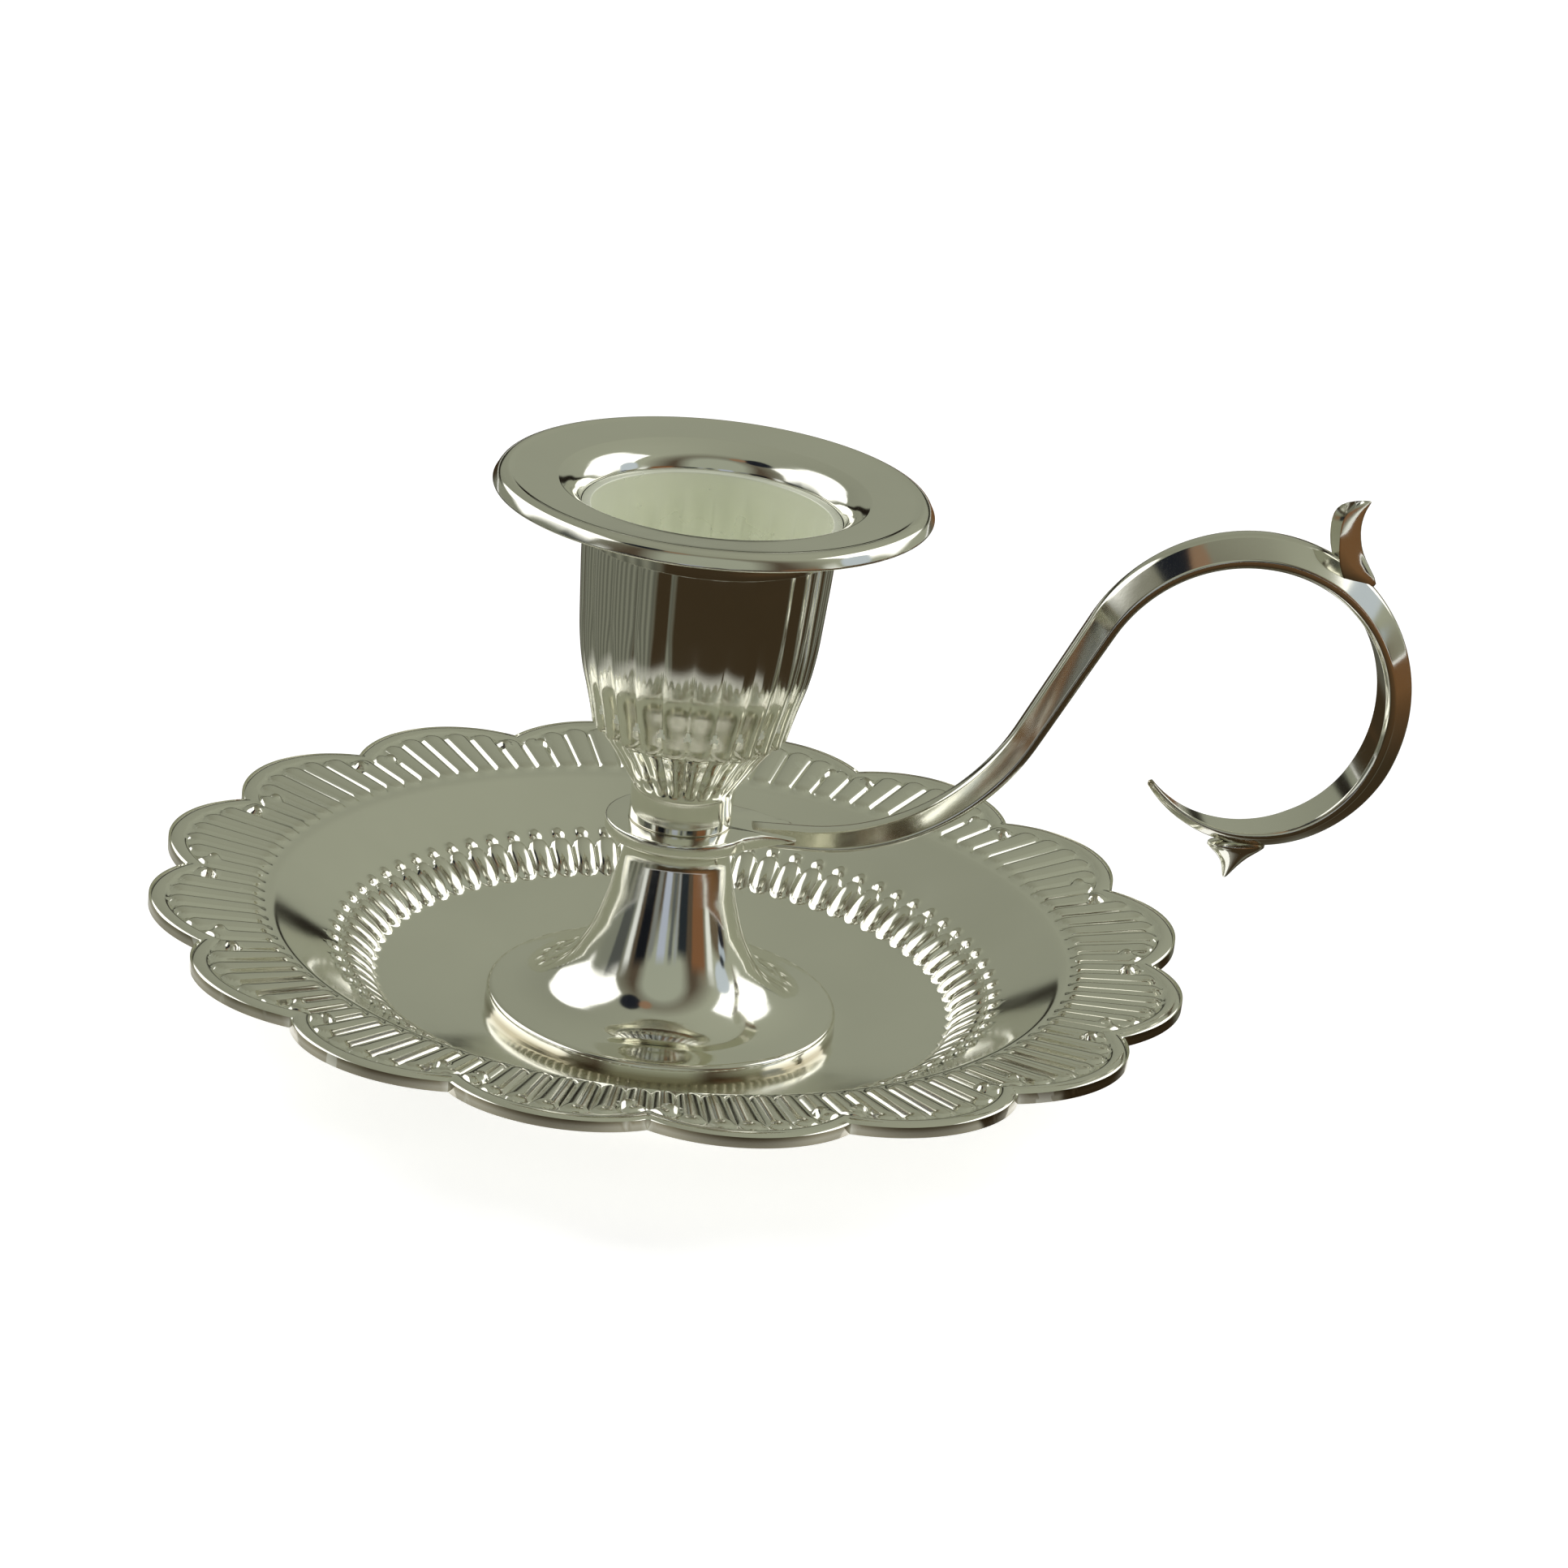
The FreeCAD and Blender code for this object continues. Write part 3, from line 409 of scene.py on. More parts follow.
# %% [markdown]
# ## The candle cup
# The cup widens upward with twenty-four shallow reeds, and their lower ends are rounded where they
# meet a narrow calyx. Below that comes a plain neck that stands on the handle's eye. The reeds
# could be separate strips, but they are only a few tenths of a millimetre high, so each ring
# of the cup simply bulges twenty-four times.

# %% Cup
REEDS = 24
REED_DEPTH = 0.32
REED_FOOT = 29.4
REED_TOP = 48.35
REED_END_LENGTH = 2.6
REED_END_RISE = 0.75
FADE_START = 36
FADE_LENGTH = 6
CALYX_FOOT = 24.2
CALYX_DEPTH = REED_DEPTH * 0.9
CALYX_FADE = 1.2
BORE_WAVE_DEPTH = 0.3
BORE_WAVE_FOOT = 34
BORE_WAVE_TOP = 49.5
BORE_WAVE_FADE = 3
CUP_FLOOR = 31.7
SPIGOT_FOOT = 27.0
CUP_COLUMNS = REEDS * 14


def reed_wave(angle):
    """0 on the crest of a reed and 1 in the groove beside it."""
    return np.abs(folded(angle, 2 * math.pi / REEDS)) * REEDS / math.pi


def cup_radius(radius, height, angle):
    """The cup's outside with its reeds and, below them, the flutes of the calyx."""
    wave = reed_wave(angle)
    if REED_FOOT <= height <= REED_TOP and radius > 8:
        fade = 1 - 0.5 * min(1, max(0, (height - FADE_START) / FADE_LENGTH))
        return radius - REED_DEPTH * fade * wave**2
    if CALYX_FOOT < height < REED_FOOT and radius > 4.9:
        return radius - CALYX_DEPTH * min(1, (height - CALYX_FOOT) / CALYX_FADE) * wave**1.6
    return np.full_like(angle, radius)


def bore_radius(radius, height, angle):
    """The cup's inside, where the reeds show through faintly."""
    fade = min(1, max(0, (BORE_WAVE_TOP - height) / BORE_WAVE_FADE)) if height > BORE_WAVE_FOOT else 0
    depth = BORE_WAVE_DEPTH * fade
    return radius + depth * (1 - reed_wave(angle) ** 2) - depth


cup_outside = rounded([
    (2.05, SPIGOT_FOOT, 0.05), (2.05, 17.5, 0.1), (3.4, 17.5, 0.15), (3.4, 20.4, 0.05), (4.9, 20.4, 0.2),
    (4.8, 22.2, 0.8), (4.95, 24.0, 0.5), (5.5, 24.9, 0.5), (6.4, 26.2, 0.8), (7.4, 27.8, 0.8),
    (8.45, 29.1, 0.2), (8.6, REED_FOOT, 0.1), (9.1, 29.5, 0.25), (9.3, 30.5, 0.4), (9.9, 32.9, 1.0),
    (10.5, 34.9, 1.0), (10.85, 36.6, 1.0), (11.15, 38.8, 1.0), (11.3, 40.9, 1.0),
    (11.45, 43.1, 1.0), (11.6, 45.2, 1.0), (11.7, 47.0, 0.6),
    (11.8, 48.25, 0.1), (12.0, 48.3, 0.05), (12.0, 50.7, 0.15)], 0.2, closed=False, longest=0.9)
cup_inside = rounded([
    (12.0, 50.7), (11.15, 50.7, 0.15), (11.12, 45.7, 1.0), (9.3, 35.3, 1.5),
    (7.6, CUP_FLOOR, 0.8), (0.6, CUP_FLOOR)], 0.2, closed=False, longest=0.9)[1:]
cup_rings = np.concatenate([turned(cup_outside, CUP_COLUMNS, cup_radius),
                            turned(cup_inside, CUP_COLUMNS, bore_radius)])
cup_angles = np.linspace(0, 2 * math.pi, CUP_COLUMNS, endpoint=False)
for ring, (radius, height) in zip(cup_rings, cup_outside):
    above_foot = height - REED_FOOT
    if radius > 8.6 and 0 <= above_foot < REED_END_LENGTH:
        ring[:, 2] += REED_END_RISE * (1 - above_foot / REED_END_LENGTH) * reed_wave(cup_angles) ** 2.5
cup = skin("candle_cup_reeded", cup_rings[::-1], start_pole=(0, 0, CUP_FLOOR),
           end_pole=(0, 0, SPIGOT_FOOT))
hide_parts("candle_cup")

# %% [markdown]
# ## The drip brim
# A wide, nearly flat ring that keeps wax off the fingers. Its edge is rolled under, its funnel has
# a crisp upper edge, and a collar slips over the cup's mouth. It is a plain turned piece, so the
# profile does all the work, and the crisp edge is rounded by only about a tenth of a millimetre.

# %% Brim
BRIM_COLUMNS = 192
brim_profile = rounded([
    (12.05, 48.3, 0.03), (12.15, 48.3, 0.03), (12.2, 50.4, 0.3), (14.85, 52.15, 0.8),
    (19.0, 52.6, 0.3), (19.5, 52.05, 0.2), (20.2, 52.05, 0.08), (20.3, 52.25, 0.1),
    (19.8, 53.2, 0.6), (19.1, 53.52, 0.5), (18.5, 53.35, 0.4), (14.4, 53.05, 0.12),
    (13.5, 52.6, 0.8), (12.55, 51.75, 0.7), (12.05, 50.8, 0.2)], 0.1, longest=0.8)
brim = skin("drip_brim_turned", turned(brim_profile, BRIM_COLUMNS)[::-1])
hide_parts("drip_brim")

# %% [markdown]
# ## The handle
# The handle is one faceted strap. It grows out of a flat eye that is clamped between column and
# cup, rises in an S, curls round for the finger and ends in a thin tail. A curve with a bevel
# could do it, but the strap changes width and thickness along its way, so the section is drawn
# at many stations along a path of lines and arcs, the same path as in the CAD part.

# %% Handle path
EYE_MIDDLE = 19.6
STRAP_START = 6.9
STRAP_START_SLOPE = math.radians(-1.8)
# kind, length or radius, turn in degrees
STRAP_PATH = [("line", 5.0, 0), ("arc", 21.2, 64.9), ("line", 12.8, 0), ("arc", 15.3, -172.7),
              ("arc", 12.4, -121.9)]
STATION_GAP = 0.5


def handle_stations():
    """(x, z, heading, way) along the strap's middle, about STATION_GAP apart."""
    stations = [(STRAP_START, EYE_MIDDLE, STRAP_START_SLOPE, 0.0)]
    for kind, size, turn in STRAP_PATH:
        x, z, heading, way = stations[-1]
        length = size if kind == "line" else size * math.radians(abs(turn))
        steps = round(length / STATION_GAP)
        for step in range(1, steps + 1):
            share = step / steps
            if kind == "line":
                stations.append((x + length * share * math.cos(heading),
                                 z + length * share * math.sin(heading), heading,
                                 way + length * share))
                continue
            side = math.copysign(1, turn)
            angle = heading + math.radians(turn) * share
            stations.append((x + side * size * (math.sin(angle) - math.sin(heading)),
                             z - side * size * (math.cos(angle) - math.cos(heading)), angle,
                             way + length * share))
    return stations


stations = handle_stations()
total_way = stations[-1][3]
print(f"the strap is {total_way:.0f} mm long from eye to tail")

# %% Handle strap
# share of the way along the strap, and the size there
STRAP_THICKNESS = [(0, 1.4), (0.05, 1.5), (0.2, 2.0), (0.33, 2.3), (0.52, 2.9), (0.78, 2.8),
                   (0.9, 1.8), (1.0, 0.6)]
STRAP_WIDTH = [(0, 5.0), (0.86, 4.9), (0.93, 3.4), (1.0, 0.9)]
SLOPE_ACROSS = 0.74
SLOPE_DOWN = 0.68
UNDER_BEVEL = 0.12
RIDGE_ROUNDING = 0.35
SIDE_ROUNDING = 0.16
TAIL_POINT = 0.3
ONLY_CORNERS = 99


def strap_section(width, thickness):
    """The strap's facets: a narrow flat top, two broad slopes, low sides and a flat underside."""
    w, t = width / 2, thickness / 2
    slope_in, slope_down = w * SLOPE_ACROSS, thickness * SLOPE_DOWN
    under = thickness * UNDER_BEVEL
    corners = [(w - slope_in, t, RIDGE_ROUNDING), (w, t - slope_down, SIDE_ROUNDING), (w, under - t),
               (w - under, -t), (under - w, -t), (-w, under - t), (-w, t - slope_down, SIDE_ROUNDING),
               (slope_in - w, t, RIDGE_ROUNDING)]
    return rounded(corners, 0.1, steps=3, longest=ONLY_CORNERS)


strap_rings = []
for x, z, heading, way in stations:
    width = np.interp(way / total_way, *zip(*STRAP_WIDTH))
    thickness = np.interp(way / total_way, *zip(*STRAP_THICKNESS))
    strap_rings.append([(x - math.sin(heading) * up, across, z + math.cos(heading) * up)
                        for across, up in strap_section(width, thickness)])
tail_x, tail_z, tail_heading, _ = stations[-1]
tail_point = (tail_x + TAIL_POINT * math.cos(tail_heading), 0,
              tail_z + TAIL_POINT * math.sin(tail_heading))
strap = skin("handle_strap", strap_rings, start_pole=(STRAP_START, 0, EYE_MIDDLE), end_pole=tail_point)
flat_facets = strap.modifiers.new("flat_facets", "WEIGHTED_NORMAL")
flat_facets.keep_sharp = True

# %% [markdown]
# The eye is the flat ring that the screw clamps between column and cup. On the real handle it is
# one casting with the strap, so its edge is drawn out in two hollow curves until it meets the
# strap's sides, and it grows thinner there so that the strap hides its end. Its outline is found
# by walking outward at each angle until the edge of the web is reached.

# %% Handle eye
EYE_RADIUS = 7.0
EYE_HOLE = 3.5
EYE_FOOT = 19.0
EYE_TOP = 20.4
EYE_COLUMNS = 240
WEB_START = 4.5
WEB_END = 11.0
WEB_HALF_WIDTH = 2.45
WEB_SPREAD = 2.6
WEB_STEP = 0.02
THINNING_END = 11.3
THINNING_LENGTH = 4.0


def eye_outline(angle):
    """The eye's edge: round, but drawn out in two hollow curves toward the strap."""
    radius = np.full_like(angle, EYE_RADIUS)
    for i, a in enumerate(angle):
        for reach in np.arange(EYE_RADIUS, WEB_END + WEB_STEP / 2, WEB_STEP):
            x, y = reach * math.cos(a), abs(reach * math.sin(a))
            web = WEB_HALF_WIDTH + WEB_SPREAD * max(0, (WEB_END - x) / (WEB_END - WEB_START)) ** 2.2
            if reach > EYE_RADIUS and (x < WEB_START or x > WEB_END or y > web):
                break
            radius[i] = reach
    return radius


eye_angles = np.linspace(0, 2 * math.pi, EYE_COLUMNS, endpoint=False)
eye_edge = eye_outline(eye_angles)
# 0 on the outer edge and 1 at the hole, with the height
eye_section = rounded([(0.0, EYE_FOOT, 0.25), (0.0, EYE_TOP, 0.3), (1.0, EYE_TOP), (1.0, EYE_FOOT)],
                      0.1, longest=ONLY_CORNERS)
eye_rings = []
for inset, height in eye_section:
    radii = eye_edge - inset if inset < 0.7 else np.full(EYE_COLUMNS, EYE_HOLE)
    thinning = np.clip((THINNING_END - radii * np.cos(eye_angles)) / THINNING_LENGTH, 0, 1)
    eye_rings.append(np.stack([radii * np.cos(eye_angles), radii * np.sin(eye_angles),
                               EYE_MIDDLE + (height - EYE_MIDDLE) * thinning], axis=-1))
eye = skin("handle_eye", eye_rings)

# %% [markdown]
# The thumb presses on a small cupped leaf on top of the loop, and a thorn hangs under it. The leaf
# is a thin hollow shell across the strap whose tip curls outward. It is drawn as a stack of
# crescents, thin at both edges, and then smoothed with a subdivision surface.

# %% Thumb leaf
def smoothed(piece):
    """Rounds a coarse mesh with one level of subdivision."""
    modifier = piece.modifiers.new("smooth", "SUBSURF")
    modifier.levels = 1
    modifier.render_levels = 1


LEAF_POINTS = 24
LEAF_WALL = 0.75
# height, x of the back, x of the edges, half width
LEAF = [(47.8, 63.0, 59.6, 1.3), (49.4, 61.9, 58.6, 1.9), (51.0, 60.9, 58.1, 2.15),
        (52.4, 60.5, 57.95, 2.2), (53.6, 60.35, 57.9, 2.0), (54.7, 60.5, 58.1, 1.6),
        (55.5, 60.8, 58.8, 1.0), (55.95, 61.05, 60.2, 0.35)]
leaf_rings = []
for height, spine, edge, half_width in LEAF:
    ring = []
    for step in range(LEAF_POINTS):
        u = math.cos(2 * math.pi * step / LEAF_POINTS)
        outer = math.sin(2 * math.pi * step / LEAF_POINTS) >= 0
        hollow = edge + (spine - edge - LEAF_WALL) * (1 - u * u)
        x = edge + (spine - edge) * (1 - abs(u) ** 2.2) if outer else min(hollow, spine)
        ring.append((max(x, edge), u * half_width, height))
    leaf_rings.append(ring)
leaf = skin("handle_thumb_leaf", leaf_rings, start_pole=(61.5, 0, 47.6), end_pole=(60.9, 0, 56.05))
smoothed(leaf)

# %% Thorn
THORN_POINTS = 16
# height, x of the middle, half length along the strap, half width
THORN = [(21.4, 53.0, 3.4, 1.6), (20.6, 52.9, 2.4, 1.3), (19.9, 52.8, 1.45, 1.0),
         (19.1, 52.65, 0.85, 0.7), (18.4, 52.45, 0.5, 0.45), (17.8, 52.3, 0.24, 0.24)]
thorn_rings = [[(x + half_length * math.cos(2 * math.pi * s / THORN_POINTS),
                 half_width * math.sin(2 * math.pi * s / THORN_POINTS), z) for s in range(THORN_POINTS)]
               for z, x, half_length, half_width in THORN]
thorn = skin("handle_thorn", thorn_rings[::-1], start_pole=(52.25, 0, 17.65), end_pole=(53.0, 0, 21.6))
smoothed(thorn)
for piece in (strap, eye, leaf, thorn):
    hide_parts("handle")

# %% [markdown]
# ## Silver that has been handled
# Polished silver plate is a mirror with faults: soft dents left by the press, hair-fine polishing
# marks, and a dull, slightly brown, darker tone in the hollow corners. One metal
# shader carries them all. A flat colour with a fixed roughness would look like plastic chrome.

# %% Silver finish
CLOUD_SCALE = 60
SMEAR_SCALE = 140
RIPPLE_SCALE = 90
MARK_SCALE = 2600
MARK_DEPTH = 0.000004
MARK_STRENGTH = 0.25
PALER = 1.05
HOLLOW_EDGE = (0.42, 0.495)


def plated_finish(name, colour, hollow_tone, roughness, ripple, metallic=1.0):
    """A metal finish: two tones of metal, a darker brown tone in hollow corners, polishing marks and soft
    ripples.
    """
    material = bpy.data.materials.new(name)
    material.use_nodes = True
    nodes, links = material.node_tree.nodes, material.node_tree.links
    shader = nodes["Principled BSDF"]
    shader.inputs["Metallic"].default_value = metallic
    place = nodes.new("ShaderNodeTexCoord").outputs["Object"]

    def noise(scale, detail=3.0):
        node = nodes.new("ShaderNodeTexNoise")
        node.inputs["Scale"].default_value = scale
        node.inputs["Detail"].default_value = detail
        links.new(place, node.inputs["Vector"])
        return node.outputs["Fac"]

    def blend(factor, first, second):
        node = nodes.new("ShaderNodeMix")
        node.data_type = "RGBA"
        links.new(factor, node.inputs["Factor"])
        for socket, value in (("A", first), ("B", second)):
            target = [i for i in node.inputs if i.name == socket and i.type == "RGBA"][0]
            if isinstance(value, tuple):
                target.default_value = (*value, 1)
            else:
                links.new(value, target)
        return [o for o in node.outputs if o.type == "RGBA"][0]

    def remap(value, low, high, to_low, to_high):
        node = nodes.new("ShaderNodeMapRange")
        links.new(value, node.inputs["Value"])
        for socket, number in zip(("From Min", "From Max", "To Min", "To Max"),
                                  (low, high, to_low, to_high)):
            node.inputs[socket].default_value = number
        return node.outputs["Result"]

    cloudy = remap(noise(CLOUD_SCALE, 4), 0.35, 0.7, 0, 1)
    paler = tuple(min(1, c * PALER) for c in colour)
    # low pointiness marks a hollow corner, and there the metal turns to the darker, browner hollow tone
    corners = remap(nodes.new("ShaderNodeNewGeometry").outputs["Pointiness"], *HOLLOW_EDGE, 1, 0)
    metal = blend(cloudy, colour, paler)
    links.new(blend(corners, metal, hollow_tone), shader.inputs["Base Color"])
    smears = remap(noise(SMEAR_SCALE, 5), 0.3, 0.75, roughness * 0.7, roughness * 1.6)
    links.new(smears, shader.inputs["Roughness"])

    ripples = nodes.new("ShaderNodeBump")
    ripples.inputs["Strength"].default_value = 1.0
    ripples.inputs["Distance"].default_value = ripple
    links.new(noise(RIPPLE_SCALE, 2), ripples.inputs["Height"])
    marks = nodes.new("ShaderNodeBump")
    marks.inputs["Strength"].default_value = MARK_STRENGTH
    marks.inputs["Distance"].default_value = MARK_DEPTH
    links.new(noise(MARK_SCALE, 2), marks.inputs["Height"])
    links.new(ripples.outputs["Normal"], marks.inputs["Normal"])
    links.new(marks.outputs["Normal"], shader.inputs["Normal"])
    print(f"{name}: colour {colour}, roughness about {roughness}")
    return material


# %% Silver pieces
SILVER = (0.87, 0.865, 0.79)
# the darker, browner tone that the finish gives to hollow corners
HOLLOW_TONE = (0.42, 0.38, 0.28)
SATIN = (0.94, 0.97, 0.83)
SATIN_HOLLOW_TONE = (0.81, 0.84, 0.69)
DEEP_RIPPLE = 0.00005
FINE_RIPPLE = 0.00003
BORE_START = 31.6
BORE_EDGE = 5.6
BORE_WIDENING = 0.12
pressed_silver = plated_finish("pressed_silver_plate", SILVER, HOLLOW_TONE, 0.10, DEEP_RIPPLE)
turned_silver = plated_finish("turned_silver_plate", SILVER, HOLLOW_TONE, 0.075, FINE_RIPPLE)
cast_silver = plated_finish("cast_silver_plate", SILVER, HOLLOW_TONE, 0.09, DEEP_RIPPLE)
bore_silver = plated_finish("satin_silver_bore", SATIN, SATIN_HOLLOW_TONE, 0.30, FINE_RIPPLE, metallic=0.3)
for piece, finish in ((saucer, pressed_silver), (column, turned_silver), (cup, turned_silver),
                      (brim, turned_silver), (strap, cast_silver), (eye, cast_silver),
                      (leaf, cast_silver), (thorn, cast_silver)):
    piece.data.materials.append(finish)
cup.data.materials.append(bore_silver)
for face in cup.data.polygons:
    middle = face.center / MM
    inside_bore = math.hypot(middle.x, middle.y) < middle.z * BORE_WIDENING + BORE_EDGE
    face.material_index = int(middle.z > BORE_START and inside_bore)

# %% [markdown]
# The screw and its washers are seen only from below. They keep their CAD shapes and get a duller
# steel finish, so that they read as fasteners and not as silver.

# %% Fastener finish
STEEL = (0.55, 0.55, 0.53)
STEEL_HOLLOW_TONE = (0.2, 0.18, 0.15)
screw_steel = plated_finish("fastener_steel", STEEL, STEEL_HOLLOW_TONE, 0.26, 0.00002)
for node in ("centre_screw", "spring_washer", "flat_washer"):
    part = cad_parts[node]
    part.data.materials.clear()
    part.data.materials.append(screw_steel)

# %% [markdown]
# ## A table for silver
# Silver shows nothing but its surroundings, so the surroundings are half the finish. The floor is
# plain and pale and keeps the object's shadow. The camera, mirrors and glass see it as white, and
# that white comes from the floor's own colour and not from stronger lamps.

# %% White for camera and mirrors
def seen_directly(nodes, links, strength):
    """A strength that holds for camera, mirror and glass rays, and is zero for all others."""
    rays = nodes.new("ShaderNodeLightPath")
    total = rays.outputs["Is Camera Ray"]
    for kind in ("Is Glossy Ray", "Is Transmission Ray"):
        either = nodes.new("ShaderNodeMath")
        either.operation = "MAXIMUM"
        links.new(total, either.inputs[0])
        links.new(rays.outputs[kind], either.inputs[1])
        total = either.outputs[0]
    scaled = nodes.new("ShaderNodeMath")
    scaled.operation = "MULTIPLY"
    scaled.inputs[1].default_value = strength
    links.new(total, scaled.inputs[0])
    return scaled.outputs[0]


# %% Floor
FLOOR_REACH = 3.0
FLOOR_PALENESS = 0.8
FLOOR_GLOW = 0.62
floor_mesh = bpy.data.meshes.new("floor")
floor_mesh.from_pydata([(-FLOOR_REACH, -FLOOR_REACH, 0), (FLOOR_REACH, -FLOOR_REACH, 0),
                        (FLOOR_REACH, FLOOR_REACH, 0), (-FLOOR_REACH, FLOOR_REACH, 0)],
                       [], [(0, 1, 2, 3)])
floor = bpy.data.objects.new("floor", floor_mesh)
bpy.context.scene.collection.objects.link(floor)
floor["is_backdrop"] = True
pale_floor = bpy.data.materials.new("pale_floor")
pale_floor.use_nodes = True
floor_nodes, floor_links = pale_floor.node_tree.nodes, pale_floor.node_tree.links
floor_nodes.clear()
matt = floor_nodes.new("ShaderNodeBsdfDiffuse")
matt.inputs["Color"].default_value = (FLOOR_PALENESS, FLOOR_PALENESS, FLOOR_PALENESS, 1)
own_white = floor_nodes.new("ShaderNodeEmission")
floor_links.new(seen_directly(floor_nodes, floor_links, FLOOR_GLOW), own_white.inputs["Strength"])
together = floor_nodes.new("ShaderNodeAddShader")
floor_links.new(matt.outputs[0], together.inputs[0])
floor_links.new(own_white.outputs[0], together.inputs[1])
floor_output = floor_nodes.new("ShaderNodeOutputMaterial")
floor_links.new(together.outputs[0], floor_output.inputs["Surface"])
floor.data.materials.append(pale_floor)

# %% [markdown]
# The world is the rest of the room. It gives a faint even light, and is plain white where the
# camera or a mirror looks past the floor. A picture of a studio could light it too, but then the
# scene would need a file besides this script.

# %% World
ROOM_LIGHT = 0.35
SOFT_WHITE = (1, 1, 0.98)
world = bpy.data.worlds.new("studio_room")
bpy.context.scene.world = world
world.use_nodes = True
room, room_links = world.node_tree.nodes, world.node_tree.links
room.clear()
soft_white = room.new("ShaderNodeBackground")
soft_white.inputs["Color"].default_value = (*SOFT_WHITE, 1)
soft_white.inputs["Strength"].default_value = ROOM_LIGHT
plain_white = room.new("ShaderNodeBackground")
plain_white.inputs["Color"].default_value = (1, 1, 1, 1)
room_mix = room.new("ShaderNodeMixShader")
room_links.new(seen_directly(room, room_links, 1.0), room_mix.inputs["Fac"])
room_links.new(soft_white.outputs[0], room_mix.inputs[1])
room_links.new(plain_white.outputs[0], room_mix.inputs[2])
room_output = room.new("ShaderNodeOutputWorld")
room_links.new(room_mix.outputs[0], room_output.inputs["Surface"])
print("the room is white to the camera and gives a soft light of", ROOM_LIGHT)

# %% [markdown]
# A mirror-bright object on pure white would vanish, so a studio surrounds it with cloths and
# cards that stay out of the picture. Here that is one big tent round the set, which only mirrors
# see. It is painted patch by patch, by direction from the object: a grey-green wall behind and
# above, a dark gap where wall and table meet, two bright windows at the sides, and a darker room
# in front with the upright strips that the column mirrors.

# %% Tent colours
WALL = (0.305, 0.317, 0.248)
WALL_BRIGHTER_RIGHT = 0.22
WALL_BRIGHTER_UP = 0.08
# toward (x right, y away, z up), half width in degrees, softness in degrees, colour
PATCHES = [
    ((0.0, -1.0, 0.05), 62, 22, (0.085, 0.065, 0.045)),
    ((0.0, -1.0, 0.62), 27, 12, (0.34, 0.36, 0.29)),
    ((0.97, -0.10, -0.05), 16, 8, (0.13, 0.10, 0.065)),
    ((-0.95, -0.15, 0.05), 24, 12, (0.20, 0.21, 0.17)),
    ((0.90, -0.08, 0.40), 9, 2, (0.52, 0.58, 0.64)),
    ((0.98, 0.00, 0.15), 5, 1.5, (0.42, 0.48, 0.54)),
    ((0.96, -0.03, 0.24), 3, 1.2, (0.02, 0.025, 0.035)),
    ((0.99, 0.04, 0.05), 4, 1.2, (0.02, 0.02, 0.025)),
    ((-0.40, -0.36, 0.84), 9, 1.5, (0.012, 0.014, 0.02)),
    ((-0.20, -0.44, 0.87), 5, 1.5, (0.26, 0.16, 0.10)),
]
# upright strips in front: degrees from the front, half width, top, colour
STREAKS = [
    (-74, 9, 26, (0.08, 0.085, 0.08)), (-57, 4, 26, (0.75, 0.77, 0.75)),
    (-38, 8, 26, (0.008, 0.009, 0.012)), (-24, 4, 22, (0.20, 0.21, 0.20)),
    (-8, 6, 24, (0.42, 0.46, 0.56)), (6, 3, 24, (0.10, 0.11, 0.11)),
    (14, 2, 24, (0.30, 0.32, 0.33)), (24, 7, 20, (0.02, 0.025, 0.03)),
    (50, 10, 26, (0.20, 0.095, 0.045)), (68, 4, 26, (0.8, 0.82, 0.78)),
]
# lowest and highest x, lowest and highest y
WINDOWS = [(0.60, 0.93, -0.12, 0.78), (-0.93, -0.57, -0.36, 0.78)]
WINDOW_STRENGTH = 1.7
WINDOW_EDGE = 0.03
WINDOW_SILL = 12
GAP_RISE = 7
GAP_HALF_HEIGHT = 3.2
GAP_COLOUR = (0.012, 0.009, 0.006)


def softly(value, edge, width):
    """0 below the edge and 1 above it, with a slope of the given width between."""
    return np.clip((value - edge) / width + 0.5, 0, 1)


def tent_colour(x, y, z):
    """The tent's colour in a direction of the camera's own frame."""
    rise = np.degrees(np.arcsin(np.clip(z, -1, 1)))
    from_front = np.degrees(np.arctan2(x, -y))
    colour = np.array(WALL) * np.ones_like(x)[..., None]
    colour *= (0.95 + WALL_BRIGHTER_RIGHT * x + WALL_BRIGHTER_UP * np.clip(z, 0, 1))[..., None]

    def paint(share, tone):
        share = share[..., None]
        return colour * (1 - share) + np.array(tone) * share

    for low_x, high_x, low_y, high_y in WINDOWS:
        share = softly(rise, WINDOW_SILL, 3)
        for value, edge in ((x, low_x), (high_x, x), (y, low_y), (high_y, y)):
            share = share * softly(value, edge, WINDOW_EDGE)
        colour = paint(share, WINDOW_STRENGTH * np.array(SOFT_WHITE))
    in_gap = softly(GAP_HALF_HEIGHT - np.abs(rise - GAP_RISE), 0, 1.5)
    colour = paint(in_gap * softly(y, 0.8, 0.1), GAP_COLOUR)
    for toward, half_width, softness, tone in PATCHES:
        toward = np.array(toward) / np.linalg.norm(toward)
        apart = np.degrees(np.arccos(np.clip(x * toward[0] + y * toward[1] + z * toward[2], -1, 1)))
        colour = paint(softly(half_width - apart, 0, softness), tone)
    for azimuth, half_width, top, tone in STREAKS:
        colour = paint(softly(half_width - np.abs(from_front - azimuth), 0, 3)
                       * softly(top - rise, 0, 8), tone)
    return colour


# %% Tent
def painted_shader(name):
    """Glows with the colours that the mesh carries at its points."""
    material = bpy.data.materials.new(name)
    material.use_nodes = True
    nodes, links = material.node_tree.nodes, material.node_tree.links
    nodes.clear()
    paint = nodes.new("ShaderNodeAttribute")
    paint.attribute_name = "paint"
    glow = nodes.new("ShaderNodeEmission")
    links.new(paint.outputs["Color"], glow.inputs["Color"])
    output = nodes.new("ShaderNodeOutputMaterial")
    links.new(glow.outputs[0], output.inputs["Surface"])
    material.cycles.emission_sampling = "NONE"
    return material


